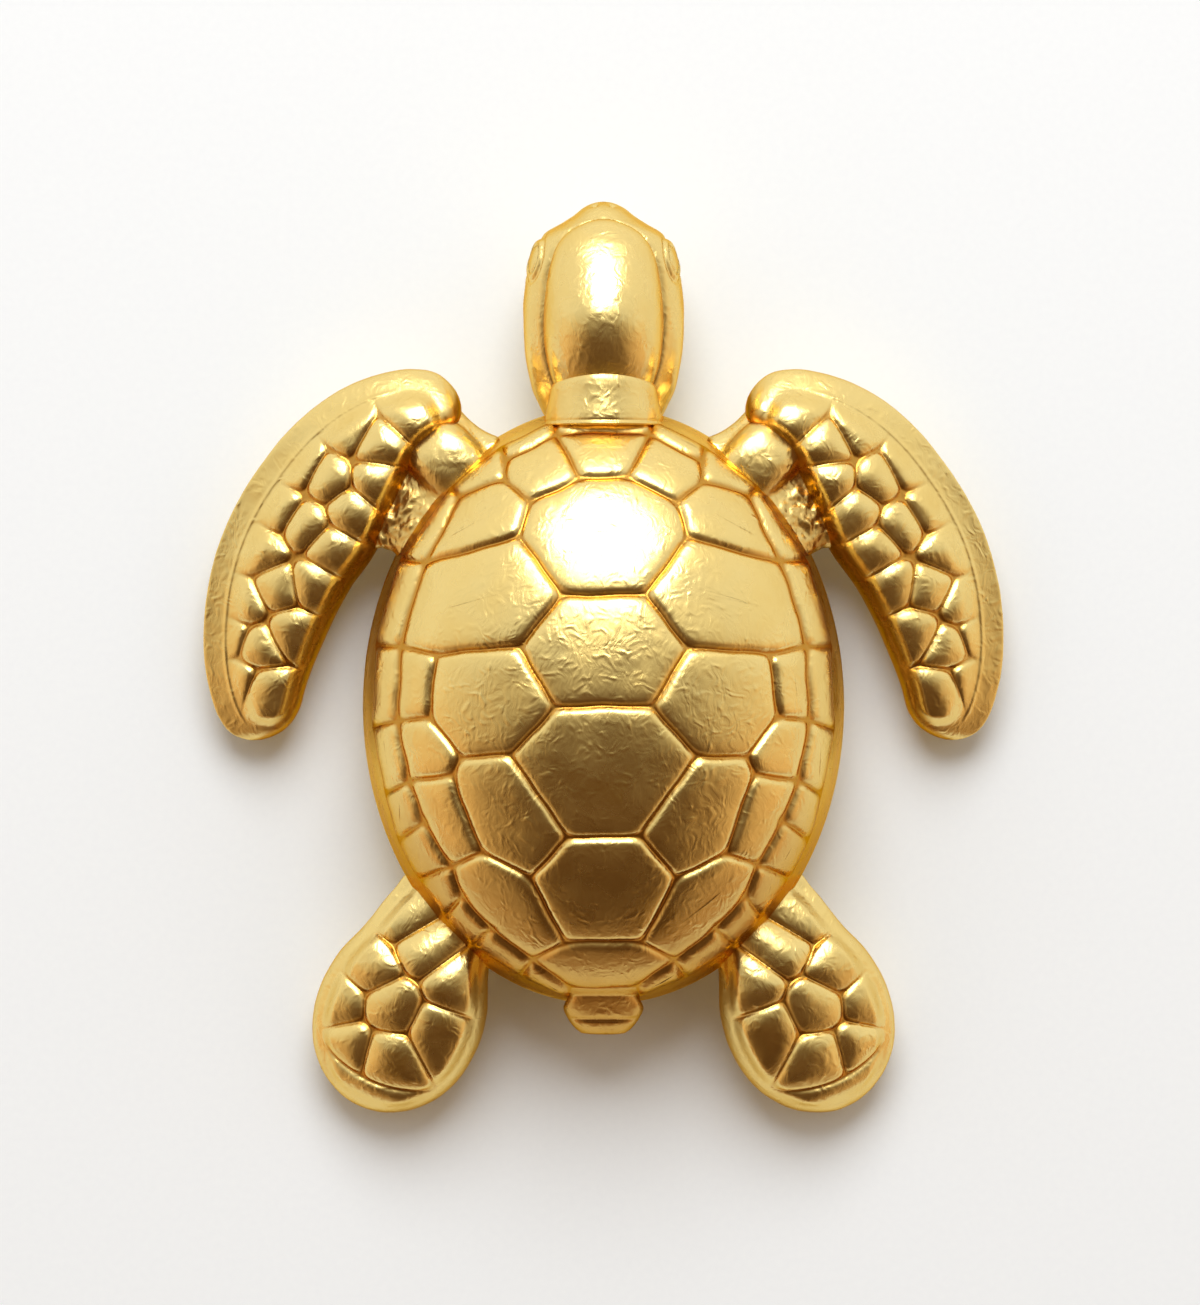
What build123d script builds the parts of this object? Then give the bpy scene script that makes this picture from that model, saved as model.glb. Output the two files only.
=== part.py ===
from build123d import *
import os
from math import cos, radians, sin

# Cast sea turtle ornament. +Y runs to the head, +X to the turtle's right and +Z up, and the origin
# is on the ground below the middle of the figure. Lengths are in millimetres, angles in degrees.

# Shell: a domed carapace over a flat-bellied plastron, half ellipsoids that meet on the rim plane
shell_half_width = 26.4
shell_half_length = 32.8
shell_centre_y = -5.1
rim_height = 9.0
dome_height = 19.0
belly_depth = 14.0
shell_wall = 1.8
belly_floor = 1.8
lip_height = 1.2
lip_wall = 0.8
lip_root = 4.5

# Scutes stand proud of the dome, with an open seam between neighbours
scute_rise = 0.5
seam_width = 0.7
scute_corner_radius = 0.45
scale_rise = 0.45
scale_seam_width = 0.5
scale_corner_radius = 0.3
belly_seam_width = 0.7
belly_seam_depth = 0.4

# Clearances, and how far a cutting body runs past what it cuts
fit_gap = 0.1
joint_gap = 0.15
overrun = 1.0

# Screws that pull the two shells together, in posts inside them
screw_half_spacing_x = 9.0
screw_half_spacing_y = 14.0
screw_shank_radius = 1.5
screw_head_radius = 2.9
screw_head_recess = 0.3
screw_length = 13.0
screw_head_angle = 90.0
pilot_spare = 1.0
post_radius = 3.2

# Tenons hold head, limbs and tail between the two shells, each with a flange inside the wall
flange_rim = 0.8
flange_thickness = 1.2
flange_setback = 1.5

# Head and collar
head_length = 23.0
head_half_width = 8.8
head_half_height = 7.6
head_lift = 3.0
head_set_in = 0.7
head_tenon_radius = 2.6
eye_radius = 1.5
eye_from_nose = 6.2
eye_spread = 6.7
eye_lift = 3.6
collar_length = 5.9
collar_radius = 5.6
collar_set_in = 1.9

# Front limbs: a knuckle at the shell and a long blade that bends round a point beside the spine
shoulder_bearing = 50.0
shoulder_radius = 4.4
shoulder_end_radius = 3.8
shoulder_set_in = 2.0
shoulder_reach = 7.5
shoulder_tenon_radius = 2.2
peg_radius = 1.5
peg_reach = 10.0
web_height = 8.0
web_thickness = 4.2
web_edge_radius = 0.9
blade_centre_x = 3.7
blade_centre_y = -3.4
blade_radius = 35.0
blade_half_width = 8.0
blade_half_thickness = 3.5
blade_height = 8.6
blade_border = 2.4
blade_rim = 1.9

# Hind limbs: a short paddle that leaves the rim towards the rear
hind_bearing = -45.3
hind_heading = -67.4
hind_length = 23.6
hind_half_width = 9.3
hind_half_thickness = 4.0
hind_set_in = 1.2
hind_height = 8.0
hind_border = 1.2
hind_tenon_radius = 2.2
hind_tenon_reach = 3.0

# Tail
tail_half_width = 4.4
tail_end_half_width = 2.5
tail_reach = 3.3
tail_set_in = 2.0
tail_height = 4.8
tail_edge_radius = 0.8
tail_tenon_radius = 1.5

# Corners of the scutes on the turtle's right, as shares of the shell's half width and half length.
# The marginal scutes lie between the rim corners and the ring corners, from the neck back.
rim_shares = [
    (0.195, 0.955), (0.425, 0.86), (0.64, 0.725), (0.845, 0.48), (0.945, 0.20), (0.95, -0.075),
    (0.905, -0.295), (0.845, -0.45), (0.765, -0.575), (0.66, -0.705), (0.54, -0.80), (0.345, -0.90),
    (0.15, -0.97),
]
ring_shares = [
    (0.19, 0.90), (0.405, 0.81), (0.595, 0.695), (0.725, 0.475), (0.835, 0.20), (0.84, -0.045),
    (0.80, -0.25), (0.73, -0.38), (0.625, -0.525), (0.58, -0.63), (0.46, -0.735), (0.295, -0.835),
    (0.135, -0.935),
]
spine_shares = {
    "v1_front": (0.10, 0.75), "v1_shoulder": (0.30, 0.67), "v1_side": (0.34, 0.555), "v1_rear": (0.175, 0.365),
    "v2_side": (0.335, 0.195), "v2_rear": (0.20, 0.0), "v3_side": (0.375, -0.16), "v3_rear": (0.15, -0.425),
    "v4_side": (0.295, -0.56), "v4_rear": (0.155, -0.775),
}
flank_shares = {
    "c0_rear": (0.41, 0.745), "c2_rear": (0.685, 0.17), "c3_side": (0.705, -0.035), "c3_rear": (0.585, -0.165),
    "c4_side": (0.615, -0.22), "c4_rear": (0.50, -0.48),
}
# Cross seams under the belly, as shares of its half length
belly_seam_shares = [0.74, 0.30, -0.05, -0.38, -0.76]

# Sections of the head from the neck to the nose: place along the head, half width, half height, lift
head_section_shares = [
    (0.0, 0.78, 0.40, -0.35), (0.10, 0.88, 0.50, -0.10), (0.17, 0.925, 0.62, 0.15), (0.28, 0.975, 0.86, 0.62),
    (0.43, 1.0, 1.0, 1.0),
    (0.60, 0.965, 0.975, 1.0), (0.74, 0.91, 0.855, 0.83), (0.83, 0.76, 0.68, 0.62), (0.90, 0.49, 0.48, 0.42),
    (0.95, 0.34, 0.34, 0.32), (0.985, 0.19, 0.20, 0.28),
]
nose_lift_share = 0.27
# Outer line of the collar from its front edge back into the shell: place along the collar, radius
collar_line_shares = [
    (1.0, 0.84), (0.89, 0.98), (0.72, 0.99), (0.55, 0.94), (0.42, 0.97), (0.20, 1.08), (0.0, 1.20),
]
# Sections of the front blade: angle round its centre, then radius, half width, half thickness, height
blade_section_shares = [
    (-7.6, 0.985, 0.37, 0.43, 0.49), (-4.5, 0.984, 0.55, 0.60, 0.50), (0.0, 0.986, 0.66, 0.71, 0.52),
    (12.0, 0.982, 0.85, 0.83, 0.60), (24.0, 0.98, 0.955, 0.91, 0.70), (36.0, 0.975, 0.99, 0.97, 0.80),
    (48.0, 1.0, 0.86, 1.0, 0.91), (58.0, 1.03, 0.575, 0.96, 0.98), (64.0, 1.03, 0.39, 0.74, 1.0),
]
blade_tip_shares = (-9.2, 0.985, 0.49)
blade_root_shares = (69.0, 1.03, 1.0)
# Middles of the scales on the front blade: angle round its centre, radius
blade_scale_shares = [
    (60, 1.01), (50, 1.065), (52, 0.975), (41, 1.01), (47, 0.89), (40, 1.09), (32, 0.985), (39, 0.88),
    (32, 1.065), (30.5, 0.86), (24.5, 1.065), (19, 0.97), (22, 0.87), (14.5, 1.055), (12, 0.895), (8, 0.995),
    (9, 1.075), (1.5, 1.05), (-0.5, 0.96),
]
# Edges of the web before and behind the knuckle, as shares of the shell's half width and half length
web_front_shares = [(0.68, 1.08), (0.56, 0.965), (0.43, 0.90)]
web_rear_shares = [(0.84, 0.47), (0.91, 0.525), (1.04, 0.506)]
# Sections of the hind paddle: place along it, half width, half thickness, height
hind_section_shares = [
    (-0.16, 0.45, 0.80, 1.0), (0.0, 0.64, 0.92, 1.0), (0.20, 0.79, 0.97, 0.92), (0.38, 0.955, 1.0, 0.80),
    (0.55, 1.0, 0.97, 0.69), (0.70, 0.94, 0.90, 0.62), (0.82, 0.80, 0.77, 0.57), (0.93, 0.53, 0.54, 0.53),
    (0.975, 0.32, 0.34, 0.52),
]
hind_tip_shares = (1.0, 0.52)
# Middles of the scales on the hind paddle: place along it, place across it
hind_scale_shares = [
    (0.09, 0.34), (0.18, 0.04), (0.365, 0.53), (0.50, 0.13), (0.30, -0.47), (0.515, -0.50), (0.73, -0.05),
    (0.755, 0.41), (0.575, 0.72),
]

# Sizes that follow from those above
shell_front = shell_centre_y + shell_half_length
shell_rear = shell_centre_y - shell_half_length
flange_depth = shell_wall + flange_setback
lip_half_width = shell_half_width - shell_wall - joint_gap
lip_half_length = shell_half_length - shell_wall - joint_gap
belly_share = (1 - (rim_height / belly_depth) ** 2) ** 0.5
belly_half_width = belly_share * shell_half_width
belly_half_length = belly_share * shell_half_length
screw_head_height = screw_head_radius - screw_shank_radius
head_root = shell_front - head_set_in
collar_back = shell_front - collar_set_in
shell_plane = Plane((0, shell_centre_y, 0))


def half_shell(grow, height, upper):
    """Half of the shell's ellipsoid, above or below the rim plane, with all half axes grown alike."""
    with BuildPart() as half:
        if upper:
            Sphere(1, arc_size1=0, align=(Align.CENTER, Align.CENTER, Align.MIN))
        else:
            Sphere(1, arc_size2=0, align=(Align.CENTER, Align.CENTER, Align.MAX))
        scale(by=(shell_half_width + grow, shell_half_length + grow, height + grow))
    return Pos(0, shell_centre_y, rim_height) * half.part


def rim_plane(bearing):
    """Plane square to the shell's rim, facing out, at an angle round the rim's ellipse."""
    x = shell_half_width * cos(radians(bearing))
    y = shell_half_length * sin(radians(bearing))
    outward = (x / shell_half_width**2, y / shell_half_length**2, 0)
    return Plane(origin=(x, shell_centre_y + y, rim_height), x_dir=(0, 0, 1), z_dir=outward)


def tenon(rim, radius, reach):
    """Round tenon through the shell wall, with the flange that keeps it in."""
    with BuildPart() as pin:
        with BuildSketch(rim.offset(reach)):
            Circle(radius)
        extrude(amount=-reach - flange_depth)
        with BuildSketch(rim.offset(-flange_depth)):
            Circle(radius + flange_rim)
        extrude(amount=-flange_thickness)
    return pin.part


def tenon_hole(rim, radius):
    """Body that cuts a tenon's hole through the wall and the locating lip."""
    with BuildPart() as hole:
        with BuildSketch(rim.offset(scute_rise + overrun)):
            Circle(radius + fit_gap)
        extrude(amount=-scute_rise - overrun - flange_depth)
    return hole.part


def section_loft(first_point, sections, last_point):
    """Smooth body through elliptical sections, each a plane with two half axes, closed by end points."""
    with BuildPart() as body:
        for plane, half_width, half_height in sections:
            with BuildSketch(plane):
                with BuildLine():
                    EllipticalCenterArc((0, 0), half_width, half_height, start_angle=0, arc_size=180)
                    EllipticalCenterArc((0, 0), half_width, half_height, start_angle=180, arc_size=180)
                make_face()
        loft(sections=[*first_point, *body.pending_faces, *last_point])
    return body.part


def shell_place(shares):
    """A point in plan, from shares of the shell's half width and half length."""
    return (shares[0] * shell_half_width, shell_centre_y + shares[1] * shell_half_length)


def nearer_part(outline, seed, other):
    """The part of an outline on a seed's side of the line midway to another seed."""
    across = other - seed
    midway = (seed + other) * 0.5
    kept = []
    for start, end in zip(outline, outline[1:] + outline[:1]):
        start_side = (start - midway).dot(across)
        end_side = (end - midway).dot(across)
        if start_side <= 0:
            kept.append(start)
        if start_side * end_side < 0:
            kept.append(start + (end - start) * (start_side / (start_side - end_side)))
    return kept


def scale_cells(seeds, outline):
    """An outline shared out between seeds, so that each scale holds the points nearest to its seed."""
    cells = []
    for seed in seeds:
        cell = outline
        for other in seeds:
            if other is not seed:
                cell = nearer_part(cell, seed, other)
        cells.append(cell)
    return cells


def seamed_plates(outlines, seam, corner_radius, body, height):
    """Plates of a body, cut apart by the seams between their outlines in plan."""
    with BuildPart() as plates:
        with BuildSketch():
            for outline in outlines:
                plate = Polygon(*outline, align=None, mode=Mode.PRIVATE)
                core = offset(plate, amount=-seam / 2 - corner_radius, mode=Mode.PRIVATE)
                offset(core, amount=corner_radius, kind=Kind.ARC, mode=Mode.ADD)
        extrude(amount=height)
        add(body, mode=Mode.INTERSECT)
    return plates.part


def scute_outlines():
    """Outlines of all scutes in plan: the middle row, then the right flank and the left."""

    def mirrored(points):
        return [(-x, y) for x, y in reversed(points)]

    rim, ring, spine, flank = rim_shares, ring_shares, spine_shares, flank_shares
    middle = [
        [rim[0], ring[0]],
        [ring[0], spine["v1_front"]],
        [spine["v1_front"], spine["v1_shoulder"], spine["v1_side"], spine["v1_rear"]],
        [spine["v1_rear"], spine["v2_side"], spine["v2_rear"]],
        [spine["v2_rear"], spine["v3_side"], spine["v3_rear"]],
        [spine["v3_rear"], spine["v4_side"], spine["v4_rear"]],
        [spine["v4_rear"], ring[11], ring[12]],
    ]
    side = [
        [ring[0], ring[1], flank["c0_rear"], spine["v1_shoulder"], spine["v1_front"]],
        [flank["c0_rear"], ring[2], ring[3], spine["v1_side"], spine["v1_shoulder"]],
        [spine["v1_side"], ring[3], ring[4], flank["c2_rear"], spine["v2_side"], spine["v1_rear"]],
        [spine["v2_side"], flank["c2_rear"], flank["c3_side"], flank["c3_rear"], spine["v3_side"], spine["v2_rear"]],
        [spine["v3_side"], flank["c3_rear"], flank["c4_side"], flank["c4_rear"], spine["v4_side"], spine["v3_rear"]],
        [spine["v4_side"], flank["c4_rear"], *ring[8:12], spine["v4_rear"]],
        [flank["c2_rear"], ring[4], ring[5], flank["c3_side"]],
        [flank["c3_side"], ring[5], ring[6], flank["c4_side"], flank["c3_rear"]],
        [flank["c4_side"], ring[6], ring[7], ring[8], flank["c4_rear"]],
    ]
    margins = [[rim[i - 1], rim[i], ring[i], ring[i - 1]] for i in range(1, len(rim))]
    # The second marginal scute reaches in to the corner between two flank scutes
    margins[1].insert(3, flank["c0_rear"])
    side += margins
    middle = [[shell_place(corner) for corner in scute] for scute in middle]
    side = [[shell_place(corner) for corner in scute] for scute in side]
    return [scute + mirrored(scute) for scute in middle] + side + [mirrored(scute) for scute in side]


def collar_body(grow):
    """The collar as turned round the neck, before it is fitted to the shell."""
    neck = Plane(origin=(0, 0, rim_height), x_dir=(0, 1, 0), z_dir=(1, 0, 0))
    line = [
        (collar_back + along * (collar_length + grow), radius * collar_radius + grow)
        for along, radius in collar_line_shares
    ]
    with BuildPart() as ring:
        with BuildSketch(neck):
            with BuildLine():
                Spline(*line)
                Polyline(line[-1], (line[-1][0], 0), (line[0][0], 0), line[0])
            make_face()
        revolve(axis=Axis((0, 0, rim_height), (0, 1, 0)))
    return ring.part


def head_body():
    """The head as one smooth form from the neck to the nose."""
    sections = []
    for along, width, height, lift in head_section_shares:
        middle = (0, head_root + along * head_length, rim_height + lift * head_lift)
        plane = Plane(origin=middle, x_dir=(1, 0, 0), z_dir=(0, 1, 0))
        sections.append((plane, width * head_half_width, height * head_half_height))
    nose = Vertex(0, head_root + head_length, rim_height + nose_lift_share * head_lift)
    return section_loft([], sections, [nose])


def blade_point(angle, radius, height):
    """A point on the bent middle line of the right front blade."""
    x = blade_centre_x + radius * blade_radius * cos(radians(angle))
    y = blade_centre_y + radius * blade_radius * sin(radians(angle))
    return Vector(x, y, height * blade_height)


def blade_body(grow):
    """The right front blade, with all its sections grown alike."""
    sections = []
    for angle, radius, width, thickness, height in blade_section_shares:
        outward = (cos(radians(angle)), sin(radians(angle)), 0)
        forward = (-sin(radians(angle)), cos(radians(angle)), 0)
        plane = Plane(origin=blade_point(angle, radius, height), x_dir=outward, z_dir=forward)
        sections.append((plane, width * blade_half_width + grow, thickness * blade_half_thickness + grow))
    tip = Vertex(*blade_point(*blade_tip_shares))
    root = Vertex(*blade_point(*blade_root_shares))
    return section_loft([tip], sections, [root])


def blade_scales():
    """Outlines of the right front blade's scales in plan, shared out on the blade laid straight."""

    def laid(angle, radius):
        return Vector(radians(angle) * blade_radius, radius)

    def bent(point):
        x = blade_centre_x + point.Y * cos(point.X / blade_radius)
        y = blade_centre_y + point.Y * sin(point.X / blade_radius)
        return (x, y)

    leading, trailing = [], []
    for angle, radius, width, *_ in blade_section_shares[1:-1]:
        middle, half = radius * blade_radius, width * blade_half_width
        leading.append(laid(angle, middle + half - blade_border))
        trailing.append(laid(angle, middle - half + blade_rim))
    seeds = [laid(angle, radius * blade_radius) for angle, radius in blade_scale_shares]
    cells = scale_cells(seeds, leading + trailing[::-1])
    return [[bent(corner) for corner in cell] for cell in cells]


def hind_point(along, across):
    """A point of the right hind paddle in plan, from lengths along and across it."""
    root = hind_rim.offset(-hind_set_in).origin
    heading = Vector(cos(radians(hind_heading)), sin(radians(hind_heading)))
    return Vector(root.X, root.Y) + heading * along + Vector(-heading.Y, heading.X) * across


def hind_body():
    """The right hind paddle, from inside the rim to its rounded end."""
    heading = hind_point(hind_length, 0) - hind_point(0, 0)
    across = hind_point(0, hind_half_width) - hind_point(0, 0)

    def middle(along, height):
        return hind_point(along * hind_length, 0) + Vector(0, 0, height * hind_height)

    sections = []
    for along, width, thickness, height in hind_section_shares:
        plane = Plane(origin=middle(along, height), x_dir=across, z_dir=heading)
        sections.append((plane, width * hind_half_width, thickness * hind_half_thickness))
    return section_loft([], sections, [Vertex(*middle(*hind_tip_shares))])


def hind_scales():
    """Outlines of the right hind paddle's scales in plan."""
    outer, inner = [], []
    for along, width, *_ in hind_section_shares[1:-2]:
        half = width * hind_half_width - hind_border
        outer.append(hind_point(along * hind_length, half))
        inner.append(hind_point(along * hind_length, -half))
    seeds = [hind_point(along * hind_length, across * hind_half_width) for along, across in hind_scale_shares]
    return [[(corner.X, corner.Y) for corner in cell] for cell in scale_cells(seeds, outer + inner[::-1])]


# Bodies that the shells share, and the envelope that head, limbs and tail stay clear of
dome = half_shell(0, dome_height, True)
dome_over_scutes = half_shell(scute_rise, dome_height, True)
dome_cavity = half_shell(-shell_wall, dome_height, True)
bowl = half_shell(0, belly_depth, False)
bowl_cavity = half_shell(-shell_wall, belly_depth, False)
envelope = half_shell(scute_rise + fit_gap, dome_height, True) + half_shell(fit_gap, belly_depth, False)

# Where head, tail and limbs leave the rim, and the holes for their tenons in both shells
head_rim = rim_plane(90)
tail_rim = rim_plane(-90)
shoulder_rim = rim_plane(shoulder_bearing)
hind_rim = rim_plane(hind_bearing)
tenon_holes = [
    tenon_hole(head_rim, head_tenon_radius),
    tenon_hole(tail_rim, tail_tenon_radius),
    tenon_hole(shoulder_rim, shoulder_tenon_radius),
    tenon_hole(rim_plane(180 - shoulder_bearing), shoulder_tenon_radius),
    tenon_hole(hind_rim, hind_tenon_radius),
    tenon_hole(rim_plane(180 - hind_bearing), hind_tenon_radius),
]

# Scutes: plates of even thickness on the dome
shell_top = rim_height + dome_height + scute_rise + overrun
scutes = seamed_plates(scute_outlines(), seam_width, scute_corner_radius, dome_over_scutes, shell_top)

# Posts inside the dome, which the screws bite into
with BuildPart() as dome_posts:
    with BuildSketch(shell_plane.offset(rim_height)):
        with GridLocations(2 * screw_half_spacing_x, 2 * screw_half_spacing_y, 2, 2):
            Circle(post_radius)
    extrude(amount=dome_height)
    add(dome, mode=Mode.INTERSECT)

with BuildPart() as carapace:
    add(dome)
    add(scutes)
    add(dome_cavity, mode=Mode.SUBTRACT)
    add(dome_posts.part)
    with BuildSketch(shell_plane.offset(rim_height)):
        with GridLocations(2 * screw_half_spacing_x, 2 * screw_half_spacing_y, 2, 2):
            Circle(screw_shank_radius + fit_gap)
    extrude(amount=screw_head_recess + screw_length + pilot_spare - rim_height, mode=Mode.SUBTRACT)
    add(tenon_holes, mode=Mode.SUBTRACT)
carapace.part.label = "carapace"

# Hollow of the lower shell, which leaves a flat floor under it
with BuildPart() as belly_hollow:
    add(bowl_cavity)
    split(bisect_by=Plane.XY.offset(belly_floor), keep=Keep.TOP)

# Lip that locates the carapace, on a root that joins it to the lower shell's wall
with BuildPart() as lip:
    with BuildSketch(shell_plane.offset(rim_height - lip_root)):
        Ellipse(shell_half_width - shell_wall / 2, shell_half_length - shell_wall / 2)
    extrude(amount=lip_root)
    add(bowl, mode=Mode.INTERSECT)
    with BuildSketch(shell_plane.offset(rim_height)):
        Ellipse(lip_half_width, lip_half_length)
    extrude(amount=lip_height)
    with BuildSketch(shell_plane.offset(rim_height - lip_root)):
        Ellipse(lip_half_width - lip_wall, lip_half_length - lip_wall)
    extrude(amount=lip_root + lip_height, mode=Mode.SUBTRACT)

with BuildPart() as plastron:
    add(bowl)
    split(bisect_by=Plane.XY, keep=Keep.TOP)
    add(belly_hollow.part, mode=Mode.SUBTRACT)
    add(lip.part)
    with BuildSketch(shell_plane):
        with GridLocations(2 * screw_half_spacing_x, 2 * screw_half_spacing_y, 2, 2):
            Circle(post_radius)
    extrude(amount=rim_height)
    # Seams between the belly's plates: one along the middle, the rest across
    with BuildSketch(shell_plane):
        Rectangle(belly_seam_width, 2 * (belly_half_length + overrun))
        with Locations([(0, share * belly_half_length) for share in belly_seam_shares]):
            Rectangle(2 * (belly_half_width + overrun), belly_seam_width)
    extrude(amount=belly_seam_depth, mode=Mode.SUBTRACT)
    with Locations(Plane((0, shell_centre_y, screw_head_recess), x_dir=(1, 0, 0), z_dir=(0, 0, -1))):
        with GridLocations(2 * screw_half_spacing_x, 2 * screw_half_spacing_y, 2, 2):
            CounterSinkHole(
                screw_shank_radius + fit_gap,
                screw_head_radius + fit_gap,
                depth=rim_height + overrun,
                counter_sink_angle=screw_head_angle,
            )
    add(tenon_holes, mode=Mode.SUBTRACT)
plastron.part.label = "plastron"

# Screws: a countersunk head under the belly and a shank up into the dome's posts
with BuildPart(shell_plane.offset(screw_head_recess)) as plastron_screws:
    with GridLocations(2 * screw_half_spacing_x, 2 * screw_half_spacing_y, 2, 2):
        Cone(
            screw_head_radius,
            screw_shank_radius,
            screw_head_height,
            align=(Align.CENTER, Align.CENTER, Align.MIN),
        )
        Cylinder(screw_shank_radius, screw_length, align=(Align.CENTER, Align.CENTER, Align.MIN))
plastron_screws.part.label = "plastron_screws"

# Neck collar: a beaded ring that flares into the front of the shell
collar_turned = collar_body(0)
with BuildPart() as neck_collar:
    add(collar_turned)
    add(envelope, mode=Mode.SUBTRACT)
    with BuildSketch(head_rim.offset(-collar_length)):
        Circle(head_tenon_radius + fit_gap)
    extrude(amount=2 * collar_length, mode=Mode.SUBTRACT)
neck_collar.part.label = "neck_collar"

# Head: it closes round the front of the collar, and its tenon runs through it
head_form = head_body()
collar_clear = collar_body(joint_gap)
head_tenon = tenon(head_rim, head_tenon_radius, collar_length)
with BuildPart() as head:
    add(head_form)
    with Locations(
        [(x, head_root + head_length - eye_from_nose, rim_height + eye_lift) for x in (-eye_spread, eye_spread)]
    ):
        Sphere(eye_radius)
    add(collar_clear, mode=Mode.SUBTRACT)
    add(envelope, mode=Mode.SUBTRACT)
    add(head_tenon)
head.part.label = "head"

# Web of skin between the shell and the blade, before and behind the shoulder's knuckle
with BuildPart() as shoulder_web:
    with BuildSketch(Plane.XY.offset(web_height - web_thickness / 2)):
        front_edge = [shell_place(shares) for shares in web_front_shares]
        rear_edge = [shell_place(shares) for shares in web_rear_shares]
        with BuildLine():
            ThreePointArc(*front_edge)
            Line(front_edge[-1], rear_edge[0])
            ThreePointArc(*rear_edge)
            Line(rear_edge[-1], front_edge[0])
        make_face()
    extrude(amount=web_thickness)
    fillet(shoulder_web.edges().filter_by(Plane.XY), web_edge_radius)

# The right front blade, its scales raised on its upper side, and the room that it needs
blade = blade_body(0)
blade_scale_body = Pos(0, 0, scale_rise) * blade
blade_top = blade_height + blade_half_thickness + scale_rise + overrun
blade_plates = seamed_plates(blade_scales(), scale_seam_width, scale_corner_radius, blade_scale_body, blade_top)
blade_clear = blade_body(scale_rise + joint_gap)

# Shoulder: a barrel on the rim, cut to the blade's inner side, with a peg that carries the blade
shoulder_tenon = tenon(shoulder_rim, shoulder_tenon_radius, shoulder_set_in)
shoulder_section = Plane(origin=shoulder_rim.origin, x_dir=shoulder_rim.z_dir, z_dir=(0, 0, 1))
with BuildPart() as front_right_shoulder:
    with BuildSketch(shoulder_section):
        with BuildLine():
            back, front = -shoulder_set_in, shoulder_reach
            ThreePointArc(
                (back, shoulder_end_radius), ((back + front) / 2, shoulder_radius), (front, shoulder_end_radius)
            )
            Polyline((front, shoulder_end_radius), (front, 0), (back, 0), (back, shoulder_end_radius))
        make_face()
    revolve(axis=Axis(shoulder_rim.origin, shoulder_rim.z_dir))
    add(shoulder_web.part)
    add(envelope, mode=Mode.SUBTRACT)
    add(blade_clear, mode=Mode.SUBTRACT)
    add(shoulder_tenon)
    with BuildSketch(shoulder_rim):
        Circle(peg_radius)
    extrude(amount=peg_reach)
front_right_shoulder.part.label = "front_right_shoulder"

with BuildPart() as front_right_flipper:
    add(blade)
    add(blade_plates)
    with BuildSketch(shoulder_rim):
        Circle(peg_radius + fit_gap)
    extrude(amount=peg_reach + fit_gap, mode=Mode.SUBTRACT)
front_right_flipper.part.label = "front_right_flipper"

# Hind paddle with raised scales, cut to the shell, with its tenon
hind_form = hind_body()
hind_scale_body = Pos(0, 0, scale_rise) * hind_form
hind_top = hind_height + hind_half_thickness + scale_rise + overrun
hind_plates = seamed_plates(hind_scales(), scale_seam_width, scale_corner_radius, hind_scale_body, hind_top)
hind_tenon = tenon(hind_rim, hind_tenon_radius, hind_tenon_reach)
with BuildPart() as hind_right_flipper:
    add(hind_form)
    add(hind_plates)
    add(envelope, mode=Mode.SUBTRACT)
    add(hind_tenon)
hind_right_flipper.part.label = "hind_right_flipper"

# The left limbs mirror the right ones
with BuildPart() as front_left_shoulder:
    mirror(front_right_shoulder.part, about=Plane.YZ)
front_left_shoulder.part.label = "front_left_shoulder"

with BuildPart() as front_left_flipper:
    mirror(front_right_flipper.part, about=Plane.YZ)
front_left_flipper.part.label = "front_left_flipper"

with BuildPart() as hind_left_flipper:
    mirror(hind_right_flipper.part, about=Plane.YZ)
hind_left_flipper.part.label = "hind_left_flipper"

# Tail: a short tapered plate under the rear of the rim
tail_tenon = tenon(tail_rim, tail_tenon_radius, tail_reach / 2)
with BuildPart() as tail:
    with BuildSketch(Plane.XY.offset(rim_height - tail_height / 2)):
        Polygon(
            (tail_half_width, shell_rear + tail_set_in),
            (-tail_half_width, shell_rear + tail_set_in),
            (-tail_half_width, shell_rear),
            (-tail_end_half_width, shell_rear - tail_reach),
            (tail_end_half_width, shell_rear - tail_reach),
            (tail_half_width, shell_rear),
            align=None,
        )
    extrude(amount=tail_height)
    fillet(tail.edges(), tail_edge_radius)
    add(envelope, mode=Mode.SUBTRACT)
    add(tail_tenon)
tail.part.label = "tail"

os.makedirs("parts", exist_ok=True)
for piece in (
    carapace,
    plastron,
    plastron_screws,
    neck_collar,
    head,
    front_left_shoulder,
    front_right_shoulder,
    front_left_flipper,
    front_right_flipper,
    hind_left_flipper,
    hind_right_flipper,
    tail,
):
    export_step(piece.part, f"parts/{piece.part.label}.step")
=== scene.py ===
from math import cos, pi, radians, sin

import bpy
import numpy as np
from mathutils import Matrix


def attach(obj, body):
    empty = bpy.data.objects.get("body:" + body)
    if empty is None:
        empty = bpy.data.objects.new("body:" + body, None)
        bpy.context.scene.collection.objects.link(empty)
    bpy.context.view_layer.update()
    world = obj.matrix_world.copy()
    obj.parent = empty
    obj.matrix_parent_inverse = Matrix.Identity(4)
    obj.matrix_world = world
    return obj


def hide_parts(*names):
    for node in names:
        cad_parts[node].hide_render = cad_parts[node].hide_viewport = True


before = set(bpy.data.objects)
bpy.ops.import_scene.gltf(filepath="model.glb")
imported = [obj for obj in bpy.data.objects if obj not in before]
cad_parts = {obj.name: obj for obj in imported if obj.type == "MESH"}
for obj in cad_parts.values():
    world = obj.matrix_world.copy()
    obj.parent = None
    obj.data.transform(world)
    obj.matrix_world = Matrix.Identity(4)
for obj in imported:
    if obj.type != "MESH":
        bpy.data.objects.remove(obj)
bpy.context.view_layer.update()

# Sizes of the figure in millimetres. The shell's are those of the part's source. +Y runs to the head.
MM = 0.001
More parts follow.
